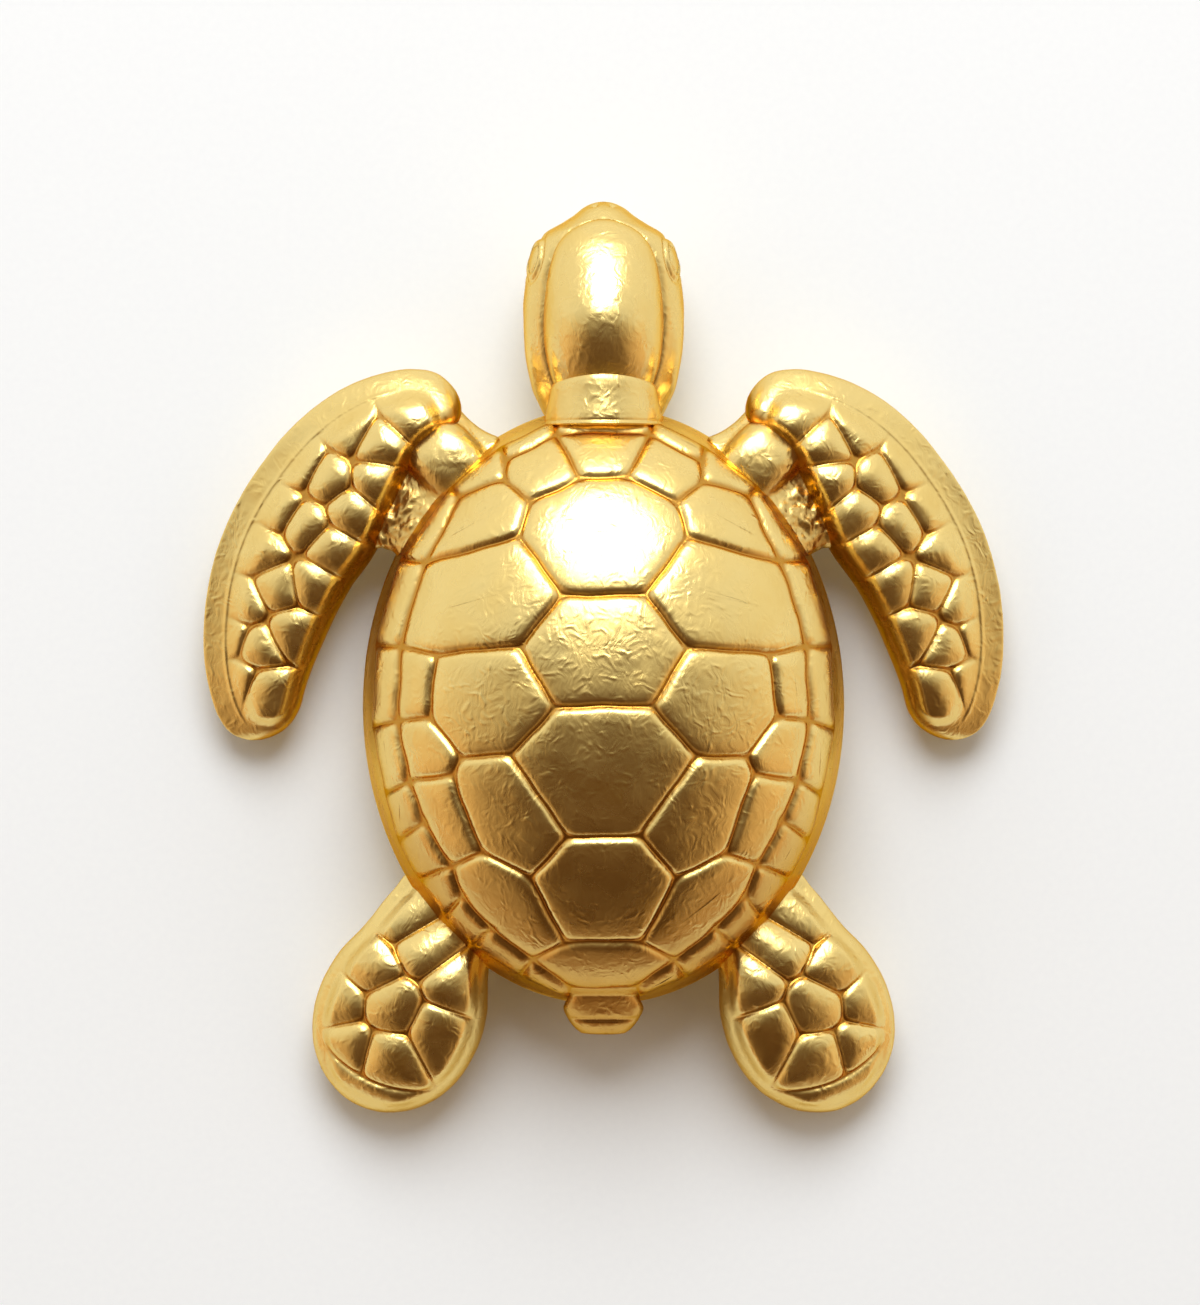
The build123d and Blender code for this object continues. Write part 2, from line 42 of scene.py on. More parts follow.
SHELL_HALF_WIDTH = 26.4
SHELL_HALF_LENGTH = 32.8
SHELL_CENTRE_Y = -5.1
RIM_HEIGHT = 9.0
DOME_HEIGHT = 19.0
BELLY_DEPTH = 14.0
SHELL_WALL = 1.8
SHELL_HALVES = np.array([SHELL_HALF_WIDTH, SHELL_HALF_LENGTH])
SHELL_CENTRE = np.array([0, SHELL_CENTRE_Y])

# Corners of the scutes on the turtle's right, as shares of the shell's half width and half length
RIM = [
    (0.195, 0.955), (0.425, 0.86), (0.64, 0.725), (0.845, 0.48), (0.945, 0.20), (0.95, -0.075),
    (0.905, -0.295), (0.845, -0.45), (0.765, -0.575), (0.66, -0.705), (0.54, -0.80), (0.345, -0.90),
    (0.15, -0.97),
]
RING = [
    (0.19, 0.90), (0.405, 0.81), (0.595, 0.695), (0.725, 0.475), (0.835, 0.20), (0.84, -0.045),
    (0.80, -0.25), (0.73, -0.38), (0.625, -0.525), (0.58, -0.63), (0.46, -0.735), (0.295, -0.835),
    (0.135, -0.935),
]
V1_FRONT, V1_SHOULDER, V1_SIDE, V1_REAR = (0.10, 0.75), (0.30, 0.67), (0.34, 0.555), (0.175, 0.365)
V2_SIDE, V2_REAR, V3_SIDE, V3_REAR = (0.335, 0.195), (0.20, 0.0), (0.375, -0.16), (0.15, -0.425)
V4_SIDE, V4_REAR = (0.295, -0.56), (0.155, -0.775)
C0_REAR, C2_REAR, C3_SIDE, C3_REAR = (0.41, 0.745), (0.685, 0.17), (0.705, -0.035), (0.585, -0.165)
C4_SIDE, C4_REAR = (0.615, -0.22), (0.50, -0.48)
SPINE_SCUTES = [
    [RIM[0], RING[0]],
    [RING[0], V1_FRONT],
    [V1_FRONT, V1_SHOULDER, V1_SIDE, V1_REAR],
    [V1_REAR, V2_SIDE, V2_REAR],
    [V2_REAR, V3_SIDE, V3_REAR],
    [V3_REAR, V4_SIDE, V4_REAR],
    [V4_REAR, RING[11], RING[12]],
]
FLANK_SCUTES = [
    [RING[0], RING[1], C0_REAR, V1_SHOULDER, V1_FRONT],
    [C0_REAR, RING[2], RING[3], V1_SIDE, V1_SHOULDER],
    [V1_SIDE, RING[3], RING[4], C2_REAR, V2_SIDE, V1_REAR],
    [V2_SIDE, C2_REAR, C3_SIDE, C3_REAR, V3_SIDE, V2_REAR],
    [V3_SIDE, C3_REAR, C4_SIDE, C4_REAR, V4_SIDE, V3_REAR],
    [V4_SIDE, C4_REAR, *RING[8:12], V4_REAR],
    [C2_REAR, RING[4], RING[5], C3_SIDE],
    [C3_SIDE, RING[5], RING[6], C4_SIDE, C3_REAR],
    [C4_SIDE, RING[6], RING[7], RING[8], C4_REAR],
]

# Front blade: angle round its centre, radius, half width, half thickness, height, from the tip to the root
BLADE_CENTRE = np.array([3.7, -3.4])
BLADE_RADIUS = 35.0
BLADE_SECTIONS = np.array([
    (-9.2, 34.47, 0.0, 0.0, 4.2), (-7.6, 34.47, 2.96, 1.5, 4.2), (-4.5, 34.44, 4.4, 2.1, 4.3),
    (0.0, 34.51, 5.28, 2.5, 4.5), (12.0, 34.37, 6.8, 2.9, 5.2), (24.0, 34.3, 7.64, 3.2, 6.0),
    (36.0, 34.13, 7.92, 3.4, 6.9), (48.0, 35.0, 6.88, 3.5, 7.8), (58.0, 35.6, 5.05, 3.35, 8.4),
    (64.0, 35.1, 4.1, 2.8, 8.6), (67.5, 34.6, 2.9, 2.1, 8.6), (69.3, 34.3, 0.0, 0.0, 8.6),
])
# Middles of the blade's scales: angle and share of the blade's radius
BLADE_SCALES = np.array([
    (60, 1.01), (50, 1.065), (52, 0.975), (41, 1.01), (47, 0.89), (40, 1.09), (32, 0.985),
    (39, 0.88), (32, 1.065), (30.5, 0.86), (24.5, 1.065), (19, 0.97), (22, 0.87), (14.5, 1.055),
    (12, 0.895), (8, 0.995), (9, 1.075), (1.5, 1.05), (-0.5, 0.96),
])
BLADE_BORDER = 2.4
BLADE_RIM = 0.8
BLADE_TILT = 0.38
BLADE_BEAD = 0.09

# Hind paddle: distance along it, half width, half thickness, height, from the root to the rounded end
HIND_ROOT = np.array([17.64, -27.66])
HIND_HEADING = radians(-67.4)
HIND_SECTIONS = np.array([
    (-5.2, 0.0, 0.0, 8.0), (-3.8, 4.2, 3.2, 8.0), (0.0, 5.95, 3.7, 8.0), (4.7, 7.35, 3.9, 7.4),
    (9.0, 8.9, 4.0, 6.4), (13.0, 9.3, 3.9, 5.5), (16.5, 8.75, 3.6, 5.0), (19.35, 7.45, 3.1, 4.6),
    (21.95, 4.95, 2.2, 4.3), (23.0, 3.0, 1.4, 4.2), (23.6, 0.0, 0.0, 4.2),
])
# Middles of the paddle's scales: places along and across it
HIND_SCALES = np.array([
    (2.1, 3.2), (4.2, 0.4), (8.6, 4.9), (11.8, 1.2), (7.1, -4.4), (12.2, -4.65), (17.2, -0.45), (17.8, 3.8),
    (13.6, 6.7),
])
HIND_BORDER = 1.0
HIND_SCALED_LENGTH = 20.3
HIND_TILT = 0.22

# Head: the jaw's body from the neck to the nose (place, half width, half height, height), and the skull
HEAD_ROOT = 27.0
HEAD_LENGTH = 23.0
JAW_SECTIONS = np.array([
    (-0.09, 0.0, 0.0, 8.0), (-0.07, 5.4, 2.2, 8.0), (-0.01, 6.5, 3.0, 8.0), (0.05, 7.2, 3.4, 8.1),
    (0.10, 7.75, 3.9, 8.2), (0.17, 8.15, 4.3, 8.4), (0.28, 8.6, 4.6, 8.7), (0.43, 8.8, 4.8, 9.0),
    (0.60, 8.5, 4.8, 9.2), (0.74, 7.95, 4.6, 9.3), (0.785, 7.6, 4.4, 9.3), (0.857, 6.15, 4.1, 9.3),
    (0.893, 4.7, 3.7, 9.35), (0.928, 3.4, 3.1, 9.4), (0.965, 2.3, 2.2, 9.5), (1.0, 0.0, 0.0, 9.6),
])
SKULL_SECTIONS = np.array([
    (28.0, 0.0, 0.0), (28.5, 4.1, 1.5), (29.2, 4.9, 2.6), (30.2, 5.45, 3.7), (31.2, 5.8, 4.45),
    (32.2, 6.05, 5.0), (33.4, 6.25, 5.45), (34.8, 6.38, 5.8), (36.2, 6.45, 5.92), (37.8, 6.42, 5.8),
    (39.5, 6.3, 5.4), (41.5, 6.05, 4.65), (43.5, 5.6, 3.8), (45.2, 4.9, 2.9), (46.6, 3.7, 1.9),
    (47.4, 2.4, 1.2), (48.0, 0.0, 0.0),
])
SKULL_HEIGHT = 13.2
SKULL_ROOT = 4.0
HEAD_EASE = 2.5
BROW_CREASE = 0.32
EYE = np.array([7.6, 43.8, 10.2])
EYE_OUTWARD = np.array([0.92, 0.28, 0.27])
EYE_REARWARD = np.array([0.42, -0.90, 0.06])
EYE_HALVES = (1.75, 1.2)
MOUTH_CORNER = 37.0
MOUTH_HEIGHT = 8.35
NOSTRIL = np.array([0.95, 49.55, 10.6])

# Collar: place along the neck and radius, from inside the shell to the front edge
COLLAR_LINE = np.array([
    (25.2, 0.0), (25.4, 5.9), (26.0, 6.3), (26.6, 6.3), (27.2, 6.22), (27.8, 6.13), (28.3, 6.07),
    (28.8, 6.02), (29.4, 5.97), (30.0, 5.92), (30.6, 5.83), (31.1, 5.6), (31.5, 5.2), (31.75, 4.7),
    (31.85, 4.0), (31.9, 0.0),
])
COLLAR_RADIUS = 5.7
COLLAR_LEAN = 1.5
COLLAR_LEAN_START = 27.5
COLLAR_LEAN_REACH = 4.0
COLLAR_HEIGHT = 11.8

# Shoulder: the knuckle's middle, its half sizes, and the edges of the web before and behind it
KNUCKLE_CENTRE = np.array([16.4, 21.1, 8.2])
KNUCKLE_HALVES = (6.1, 3.9, 5.0)
KNUCKLE_BEARING = radians(43.8)
WEB_FRONT = np.array([(11.2, 24.3), (14.6, 26.2), (17.3, 30.0)])
WEB_REAR = np.array([(22.2, 10.3), (24.0, 12.1), (27.5, 11.5)])
WEB_HEIGHT = 8.5
WEB_HALF_THICKNESS = 2.5
WEB_FALL = 2.6
ARMPIT = np.array([23.0, 15.5])
CRUMPLE_REACH = 4.2
SKIN_VOXEL = 0.22

# Tail plate: place, half width, half thickness, height
TAIL_SECTIONS = np.array([
    (-34.7, 0.0, 0.0, 12.9), (-34.9, 3.5, 2.2, 12.8), (-36.8, 3.8, 2.4, 11.9), (-38.2, 4.4, 2.4, 10.8),
    (-39.4, 3.9, 2.25, 9.9), (-40.3, 3.25, 1.95, 9.4), (-40.8, 2.7, 1.55, 9.15), (-41.1, 1.9, 1.0, 9.05),
    (-41.2, 0.0, 0.0, 9.0),
])
TAIL_CREASE = -39.4

# Belly
BELLY_SEAMS = np.array([0.74, 0.30, -0.05, -0.38, -0.76])
BELLY_SEAM_DEPTH = 0.4
BELLY_SEAM_WIDTH = 0.34
BELLY_SHARE = (1 - (RIM_HEIGHT / BELLY_DEPTH) ** 2) ** 0.5
SCREW_HALF_SPACING = (9.0, 14.0)
SCREW_HEAD_RADIUS = 2.9
SCREW_SHANK_RADIUS = 1.5
SCREW_RECESS = 0.3
SCREW_LENGTH = 13.0
SCREW_HEAD_EDGE = 0.06
SCREW_POINT = 0.5
SLOT_HALF_WIDTH = 0.34
SLOT_REACH = 0.62
SLOT_DEPTH = 1.1
# Radius and height of the screw holes, from below the belly up
WELL_LINE = [(0, -1.0), (3.05, -1.0), (3.05, 0.32), (1.65, 1.75), (1.65, 4.0), (0, 4.0)]

# How the carver's tools and hand shape a surface, and how strong the painted shade is low on the shell's
# rear
HAND = {"unevenness": 0.15, "uneven_size": 3.6}
SCUTE_CUT = {"bevel_rise": 0.36, "bevel_width": 0.36, "crown_rise": 0.2, "crown_reach": 2.2, **HAND}
SCALE_CUT = {"bevel_rise": 0.26, "bevel_width": 0.26, "crown_rise": 0.66, "crown_reach": 2.5, **HAND}
PLAIN = {"bevel_rise": 0.0, "bevel_width": 1.0, "crown_rise": 0.0, "crown_reach": 1.0, **HAND}
ROUGH = {**PLAIN, "unevenness": 1.1, "uneven_size": 1.3}
PLAIN_GAP = 9.0
REAR_PAINTED_SHADE = 0.7


# Meshes

def graded(count):
    """Places from 0 to 1, closer together towards both ends."""
    t = np.linspace(0, 1, count)
    return 0.45 * t + 0.55 * (1 - np.cos(pi * t)) / 2


def smooth_columns(table, x):
    """The columns of a table as smooth curves over its first column."""
    stations, columns = table[:, 0], table[:, 1:]
    slopes = np.gradient(columns, stations, axis=0)
    i = np.clip(np.searchsorted(stations, x) - 1, 0, len(stations) - 2)
    step = (stations[i + 1] - stations[i])[:, None]
    t = (x - stations[i])[:, None] / step
    start = (1 + 2 * t) * (1 - t) ** 2 * columns[i] + t * (1 - t) ** 2 * step * slopes[i]
    end = t**2 * (3 - 2 * t) * columns[i + 1] + t**2 * (t - 1) * step * slopes[i + 1]
    return start + end


def rounded_columns(table, x, squares):
    """As smooth_columns, but the columns in squares run as squares, so that they round off at zero."""
    worked = table.copy()
    worked[:, squares] **= 2
    values = smooth_columns(worked, x)
    for column in squares:
        values[:, column - 1] = np.sqrt(np.maximum(values[:, column - 1], 0))
    return values


def power(wave, exponent):
    """A sine or cosine raised to a power, with its sign kept."""
    return np.sign(wave) * np.abs(wave) ** exponent


def ridge(x, middle, width):
    """A smooth ridge of height 1 along its middle. Taken off a surface, it is a groove."""
    return np.exp(-(((x - middle) / width) ** 2))


def eased_least(distances, ease):
    """The least of several distances, rounded off where two are alike. More ease rounds less."""
    return -np.log(sum(np.exp(-ease * distance) for distance in distances)) / ease


def upper_weighted_turn(upper, lower):
    """Angles round a section, with more of them on the upper side than on the lower."""
    top = np.linspace(0, pi, upper, endpoint=False)
    return np.concatenate([top, np.linspace(pi, 2 * pi, lower, endpoint=False)])


def skin(rows):
    """Points and faces of a closed skin over rows of points. Its first and last rows are one point each."""
    count, around = rows.shape[:2]
    points = np.concatenate([rows[0, :1], rows[1:-1].reshape(-1, 3), rows[-1, :1]])
    last = len(points) - 1
    faces = []
    for k in range(around):
        n = (k + 1) % around
        faces.append((0, 1 + k, 1 + n))
        for r in range(count - 3):
            a = 1 + r * around
            faces.append((a + k, a + around + k, a + around + n, a + n))
        faces.append((last, last - around + n, last - around + k))
    return points, faces


def facing_out(points, faces):
    """The same faces, turned round if they enclose a negative volume."""
    total = 0.0
    for face in faces:
        for b, c in zip(face[1:-1], face[2:]):
            total += np.dot(points[face[0]], np.cross(points[b], points[c]))
    return faces if total > 0 else [face[::-1] for face in faces]


def set_attributes(mesh, **attributes):
    """Stores one value per point for each attribute."""
    for key, values in attributes.items():
        mesh.attributes.new(key, "FLOAT", "POINT").data.foreach_set("value", np.asarray(values, np.float32))


def mesh_object(name, points, faces, **attributes):
    """An object from points in millimetres, with one value per point for each attribute."""
    faces = facing_out(points, faces)
    mesh = bpy.data.meshes.new(name)
    mesh.from_pydata((np.asarray(points) * MM).tolist(), [], [list(map(int, face)) for face in faces])
    set_attributes(mesh, **attributes)
    mesh.polygons.foreach_set("use_smooth", [True] * len(mesh.polygons))
    mesh.update()
    piece = bpy.data.objects.new(name, mesh)
    bpy.context.scene.collection.objects.link(piece)
    return piece


def mirrored(points):
    return np.asarray(points) * (-1, 1, 1)


def add_boolean(piece, other, operation):
    """Joins another body to a piece or cuts it out, by a modifier."""
    modifier = piece.modifiers.new(other.name, "BOOLEAN")
    modifier.operation = operation
    modifier.object = other
    modifier.solver = "EXACT"


def fixed(piece):
    """The piece with its modifiers turned into plain mesh."""
    bpy.context.view_layer.update()
    evaluated = piece.evaluated_get(bpy.context.evaluated_depsgraph_get())
    mesh = bpy.data.meshes.new_from_object(evaluated)
    piece.modifiers.clear()
    piece.data = mesh
    return piece


# Nodes

def add_node(tree, kind, settings=None, inputs=None):
    """A new node with its settings, and with values or links on its inputs."""
    node = tree.nodes.new(kind)
    for key, value in (settings or {}).items():
        setattr(node, key, value)
    for key, value in (inputs or {}).items():
        if isinstance(value, bpy.types.NodeSocket):
            tree.links.new(value, node.inputs[key])
        else:
            node.inputs[key].default_value = value
    return node


def linear(hex_colour):
    """Linear red, green, blue and alpha of an sRGB hex value."""
    values = [int(hex_colour[i:i + 2], 16) / 255 for i in (1, 3, 5)]
    return (*[v / 12.92 if v <= 0.04045 else ((v + 0.055) / 1.055) ** 2.4 for v in values], 1.0)


def new_tree(name, sizes, places=()):
    """A tree that takes geometry, sizes, places and a material, and the sockets that bring them in."""
    tree = bpy.data.node_groups.new(name, "GeometryNodeTree")
    sockets = [("Geometry", "Geometry"), *[(size, "Float") for size in sizes]]
    sockets += [*[(place, "Vector") for place in places], ("Material", "Material")]
    for label, kind in sockets:
        tree.interface.new_socket(label, in_out="INPUT", socket_type=f"NodeSocket{kind}")
    tree.interface.new_socket("Geometry", in_out="OUTPUT", socket_type="NodeSocketGeometry")
    return tree, add_node(tree, "NodeGroupInput").outputs


def end_tree(tree, geometry, material):
    """Makes the geometry real, gives it the material and sends it out."""
    real = add_node(tree, "GeometryNodeRealizeInstances", None, {"Geometry": geometry})
    coated = add_node(
        tree, "GeometryNodeSetMaterial", None, {"Geometry": real.outputs[0], "Material": material}
    )
    add_node(tree, "NodeGroupOutput", None, {"Geometry": coated.outputs[0]})
    return tree


def relief_tree():
    """Carves seams and raises scales: each point moves out by its distance from the nearest seam."""
    sizes = ["Bevel Rise", "Bevel Width", "Crown Rise", "Crown Reach", "Unevenness", "Uneven Size"]
    tree, entry = new_tree("carved_relief", sizes)
    values = {}
    for name in ("seam_distance", "relief", "worked"):
        read = add_node(tree, "GeometryNodeInputNamedAttribute", {"data_type": "FLOAT"}, {"Name": name})
        values[name] = read.outputs["Attribute"]
    fineness = add_node(tree, "ShaderNodeMath", {"operation": "DIVIDE"}, {0: 1.0, 1: entry["Uneven Size"]})
    grain = add_node(
        tree, "ShaderNodeTexNoise", {"noise_dimensions": "3D"},
        {"Scale": fineness.outputs[0], "Detail": 2.0},
    )
    values["grain"] = grain.outputs["Fac"]
    # Each step names its result. Its operands are numbers, sizes or the names of earlier results.
    steps = [
        # The bevel rises from the seam and levels off
        ("share", "DIVIDE", "seam_distance", "Bevel Width"),
        ("square", "MULTIPLY", "share", "share"),
        ("negative", "MULTIPLY", "square", -1.0),
        ("fall", "EXPONENT", "negative"),
        ("climb", "SUBTRACT", 1.0, "fall"),
        ("bevel", "MULTIPLY", "climb", "Bevel Rise"),
        # The crown rounds up to its full height, one reach from the seam
        ("away", "DIVIDE", "seam_distance", "Crown Reach"),
        ("reach", "MINIMUM", "away", 1.0),
        ("rest", "SUBTRACT", 2.0, "reach"),
        ("round", "MULTIPLY", "reach", "rest"),
        ("crown", "MULTIPLY", "round", "Crown Rise"),
        ("both", "ADD", "bevel", "crown"),
        ("carved", "MULTIPLY", "both", "relief"),
        # The hand leaves the surface uneven
        ("swing", "SUBTRACT", "grain", 0.5),
        ("hand", "MULTIPLY", "swing", "Unevenness"),
        ("uneven", "MULTIPLY", "hand", "worked"),
        ("height", "ADD", "carved", "uneven"),
    ]
    for name, operation, *operands in steps:
        inputs = {}
        for i, operand in enumerate(operands):
            inputs[i] = entry[operand] if operand in sizes else values.get(operand, operand)
        values[name] = add_node(tree, "ShaderNodeMath", {"operation": operation}, inputs).outputs[0]
    normal = add_node(tree, "GeometryNodeInputNormal").outputs[0]
    move = add_node(
        tree, "ShaderNodeVectorMath", {"operation": "SCALE"}, {0: normal, "Scale": values["height"]}
    )
    moved = add_node(
        tree, "GeometryNodeSetPosition", None, {"Geometry": entry["Geometry"], "Offset": move.outputs[0]}
    )
    return end_tree(tree, moved.outputs[0], entry["Material"])


def screw_tree():
    """Sets one screw at each corner of a rectangle under the belly."""
    tree, entry = new_tree("belly_screws", ["Spacing X", "Spacing Y"], ["Centre"])
    corners = add_node(
        tree, "GeometryNodeMeshGrid", None,
        {"Size X": entry["Spacing X"], "Size Y": entry["Spacing Y"], "Vertices X": 2, "Vertices Y": 2},
    )
    placed = add_node(
        tree, "GeometryNodeSetPosition", None, {"Geometry": corners.outputs[0], "Offset": entry["Centre"]}
    )
    turn = add_node(
        tree, "FunctionNodeRandomValue", {"data_type": "FLOAT"}, {2: 0.0, 3: pi, "Seed": 7}
    ).outputs[1]
    spin = add_node(tree, "ShaderNodeCombineXYZ", None, {"Z": turn})
    screws = add_node(
        tree, "GeometryNodeInstanceOnPoints", None,
        {"Points": placed.outputs[0], "Instance": entry["Geometry"], "Rotation": spin.outputs[0]},
    )
    return end_tree(tree, screws.outputs[0], entry["Material"])


def apply_tree(piece, tree, **values):
    """Runs a node tree on a piece, with its inputs given by name in lower case, and keeps the result."""
    modifier = piece.modifiers.new(tree.name, "NODES")
    modifier.node_group = tree
    for item in tree.interface.items_tree:
        key = item.name.lower().replace(" ", "_")
        if item.in_out == "INPUT" and key in values:
            modifier[item.identifier] = values[key]
    return fixed(piece)


# Materials

def empty_material(name):
    """A new material and its node tree, with no node in it yet."""
    material = bpy.data.materials.new(name)
    material.use_nodes = True
    material.node_tree.nodes.clear()
    return material, material.node_tree


def gilded_casting():
    """Leaf-gilded brass casting, burnished by hand: a warm mirror that is broken up by the leaf's fine
    wrinkles, with duller patches, and a deeper orange painted into seams and hollows as shade and warm
    reflection."""
    material, tree = empty_material("leaf_gilded_brass")
    place = add_node(tree, "ShaderNodeTexCoord").outputs["Object"]
    per_mm = 1 / MM
    # Wrinkles of the leaf: about 1 mm apart, bent by a slower drift
    drift = add_node(
        tree, "ShaderNodeTexNoise", None, {"Vector": place, "Scale": per_mm / 2.6, "Detail": 1.0}
    )
    bent = add_node(
        tree, "ShaderNodeVectorMath", {"operation": "MULTIPLY_ADD"},
        {0: drift.outputs["Color"], 1: (3.0 * MM,) * 3, 2: place},
    )
    wrinkle = add_node(
        tree, "ShaderNodeTexNoise", {"noise_type": "RIDGED_MULTIFRACTAL"},
        {"Vector": bent.outputs[0], "Scale": per_mm / 1.0, "Detail": 3.0, "Roughness": 0.55},
    )
    # Brushing of the burnisher: lines about 0.45 mm apart, drawn coarser than real ones so that they show
    stretched = add_node(
        tree, "ShaderNodeMapping", None,
        {"Vector": bent.outputs[0], "Rotation": (0.4, 0.2, 0.7), "Scale": (1.0, 0.2, 1.0)},
    )
    brush = add_node(
        tree, "ShaderNodeTexNoise", None,
        {"Vector": stretched.outputs[0], "Scale": per_mm / 0.45, "Detail": 2.0},
    )
    # Duller and redder patches, about 5 mm wide
    patches = add_node(
        tree, "ShaderNodeTexNoise", None, {"Vector": place, "Scale": per_mm / 5.0, "Detail": 3.0}
    )
    rough = add_node(
        tree, "ShaderNodeMapRange", None, {0: patches.outputs["Fac"], 1: 0.3, 2: 0.7, 3: 0.21, 4: 0.34}
    )
    tone = add_node(
        tree, "ShaderNodeMix", {"data_type": "RGBA"},
        {0: patches.outputs["Fac"], 6: linear("#F2D88F"), 7: linear("#EACA78")},
    )
    # Painted shade and reflection: the leaf is painted most orange within 0.35 mm of a carved line, in the
    # limbs' hollows and low on the shell's rear, in place of the shade and warm reflection there
    gap = add_node(tree, "ShaderNodeAttribute", {"attribute_name": "seam_distance"}).outputs["Fac"]
    carved = add_node(tree, "ShaderNodeAttribute", {"attribute_name": "relief"}).outputs["Fac"]
    near = add_node(
        tree, "ShaderNodeMapRange", {"interpolation_type": "SMOOTHSTEP"},
        {0: gap, 1: 0.05 * MM, 2: 0.35 * MM, 3: 1.0, 4: 0.0},
    )
    cut = add_node(tree, "ShaderNodeMath", {"operation": "MULTIPLY"}, {0: near.outputs[0], 1: carved})
    painted_shade_share = add_node(tree, "ShaderNodeAttribute", {"attribute_name": "recess"}).outputs["Fac"]
    # depth is the share of painted shade at each point
    depth = add_node(tree, "ShaderNodeMath", {"operation": "MAXIMUM"}, {0: cut.outputs[0], 1: painted_shade_share})
    painted_shade_colour = add_node(
        tree, "ShaderNodeMix", {"data_type": "RGBA"},
        {0: depth.outputs[0], 6: tone.outputs[2], 7: linear("#C79240")},
    )
    lines = add_node(
        tree, "ShaderNodeBump", None,
        {"Height": brush.outputs["Fac"], "Strength": 0.8, "Distance": 0.04 * MM},
    )
    relief = add_node(
        tree, "ShaderNodeBump", None,
        {
            "Height": wrinkle.outputs["Fac"], "Strength": 0.9, "Distance": 0.07 * MM,
            "Normal": lines.outputs[0],
        },
    )
    metal = add_node(
        tree, "ShaderNodeBsdfPrincipled", None,
        {
            "Base Color": painted_shade_colour.outputs[2], "Metallic": 1.0, "Roughness": rough.outputs[0],
            "Specular Tint": linear("#F0C680"), "Normal": relief.outputs[0],
        },
    )
    add_node(tree, "ShaderNodeOutputMaterial", None, {"Surface": metal.outputs[0]})
    return material


def machined_steel():
    """Plain turned steel: a cool satin metal, whose sheen is broken by a grit of about 0.4 mm."""
    material, tree = empty_material("turned_steel")
    place = add_node(tree, "ShaderNodeTexCoord").outputs["Object"]
    grit = add_node(
        tree, "ShaderNodeTexNoise", None, {"Vector": place, "Scale": 1 / (0.4 * MM), "Detail": 3.0}
    )
    rough = add_node(
        tree, "ShaderNodeMapRange", None, {0: grit.outputs["Fac"], 1: 0.3, 2: 0.7, 3: 0.28, 4: 0.42}
    )
    relief = add_node(
        tree, "ShaderNodeBump", None,
        {"Height": grit.outputs["Fac"], "Strength": 0.3, "Distance": 0.02 * MM},
    )
    metal = add_node(
        tree, "ShaderNodeBsdfPrincipled", None,
        {
            "Base Color": linear("#B9B9BA"), "Metallic": 1.0, "Roughness": rough.outputs[0],
            "Normal": relief.outputs[0],
        },
    )
    add_node(tree, "ShaderNodeOutputMaterial", None, {"Surface": metal.outputs[0]})
    return material


def paper_floor():
    """Matt white paper, which shows the eye a clean white and takes the figure's soft shadow."""
    material, tree = empty_material("white_paper")
    place = add_node(tree, "ShaderNodeTexCoord").outputs["Object"]
    fibres = add_node(
        tree, "ShaderNodeTexNoise", None, {"Vector": place, "Scale": 1 / (0.8 * MM), "Detail": 2.0}
    )
    tone = add_node(
        tree, "ShaderNodeMix", {"data_type": "RGBA"},
        {0: fibres.outputs["Fac"], 6: linear("#F0F4F8"), 7: linear("#F4F8FB")},
    )
    matt = add_node(tree, "ShaderNodeBsdfDiffuse", None, {"Color": tone.outputs[2]})
    add_node(tree, "ShaderNodeOutputMaterial", None, {"Surface": matt.outputs[0]})
    return material


# Carapace

# Spacing of the points along a scute's border, and the distances of its rings from the border
SEAM_SAMPLE = 0.36
SEAM_STEPS = [0.0, 0.09, 0.18, 0.28, 0.4, 0.55, 0.75, 1.0, 1.4, 2.0, 2.9, 4.2, 6.0]
CORNER_EASE = 3.5
LIP_STEPS = 16
LIP_RELIEF = 0.6


def on_dome(plan):
    """Points of the shell's upper half ellipsoid above points in plan."""
    unit = (plan - SHELL_CENTRE) / SHELL_HALVES
    lift = np.sqrt(np.maximum(0, 1 - (unit**2).sum(1)))
    return np.column_stack([plan, RIM_HEIGHT + DOME_HEIGHT * lift])


def hand_drift(plan):
    """Small wandering of the carver's lines, the same for every piece that meets at a point."""
    x, y = plan[:, 0], plan[:, 1]
    across = 0.10 * np.sin(0.47 * y + 1.7 * np.sin(0.21 * x + 0.4)) + 0.04 * np.sin(1.37 * y - 0.8 * x)
    along = 0.10 * np.sin(0.43 * x + 1.5 * np.sin(0.24 * y + 2.1)) + 0.04 * np.sin(1.21 * x + 0.9 * y)
    return plan + np.column_stack([across, along])


def edge_points(a, b, spacing):
    """Points from a up to b, which are the same ones whichever way the edge is walked."""
    low, high = (a, b) if tuple(a) <= tuple(b) else (b, a)
    count = max(4, int(np.ceil(np.linalg.norm(high - low) / spacing)))
    points = low + (high - low) * (np.arange(count + 1) / count)[:, None]
    return points[:-1] if low is a else points[:0:-1]


def side_distance(points, corners):
    """Distance of points to the nearest side of a polygon, eased in its corners."""
    gaps = []
    for a, b in zip(corners, np.roll(corners, -1, axis=0)):
        side = b - a
        t = np.clip((points - a) @ side / (side @ side), 0, 1)
        gaps.append(np.linalg.norm(points - a - t[:, None] * side, axis=1))
    return np.maximum(0, eased_least(gaps, CORNER_EASE))


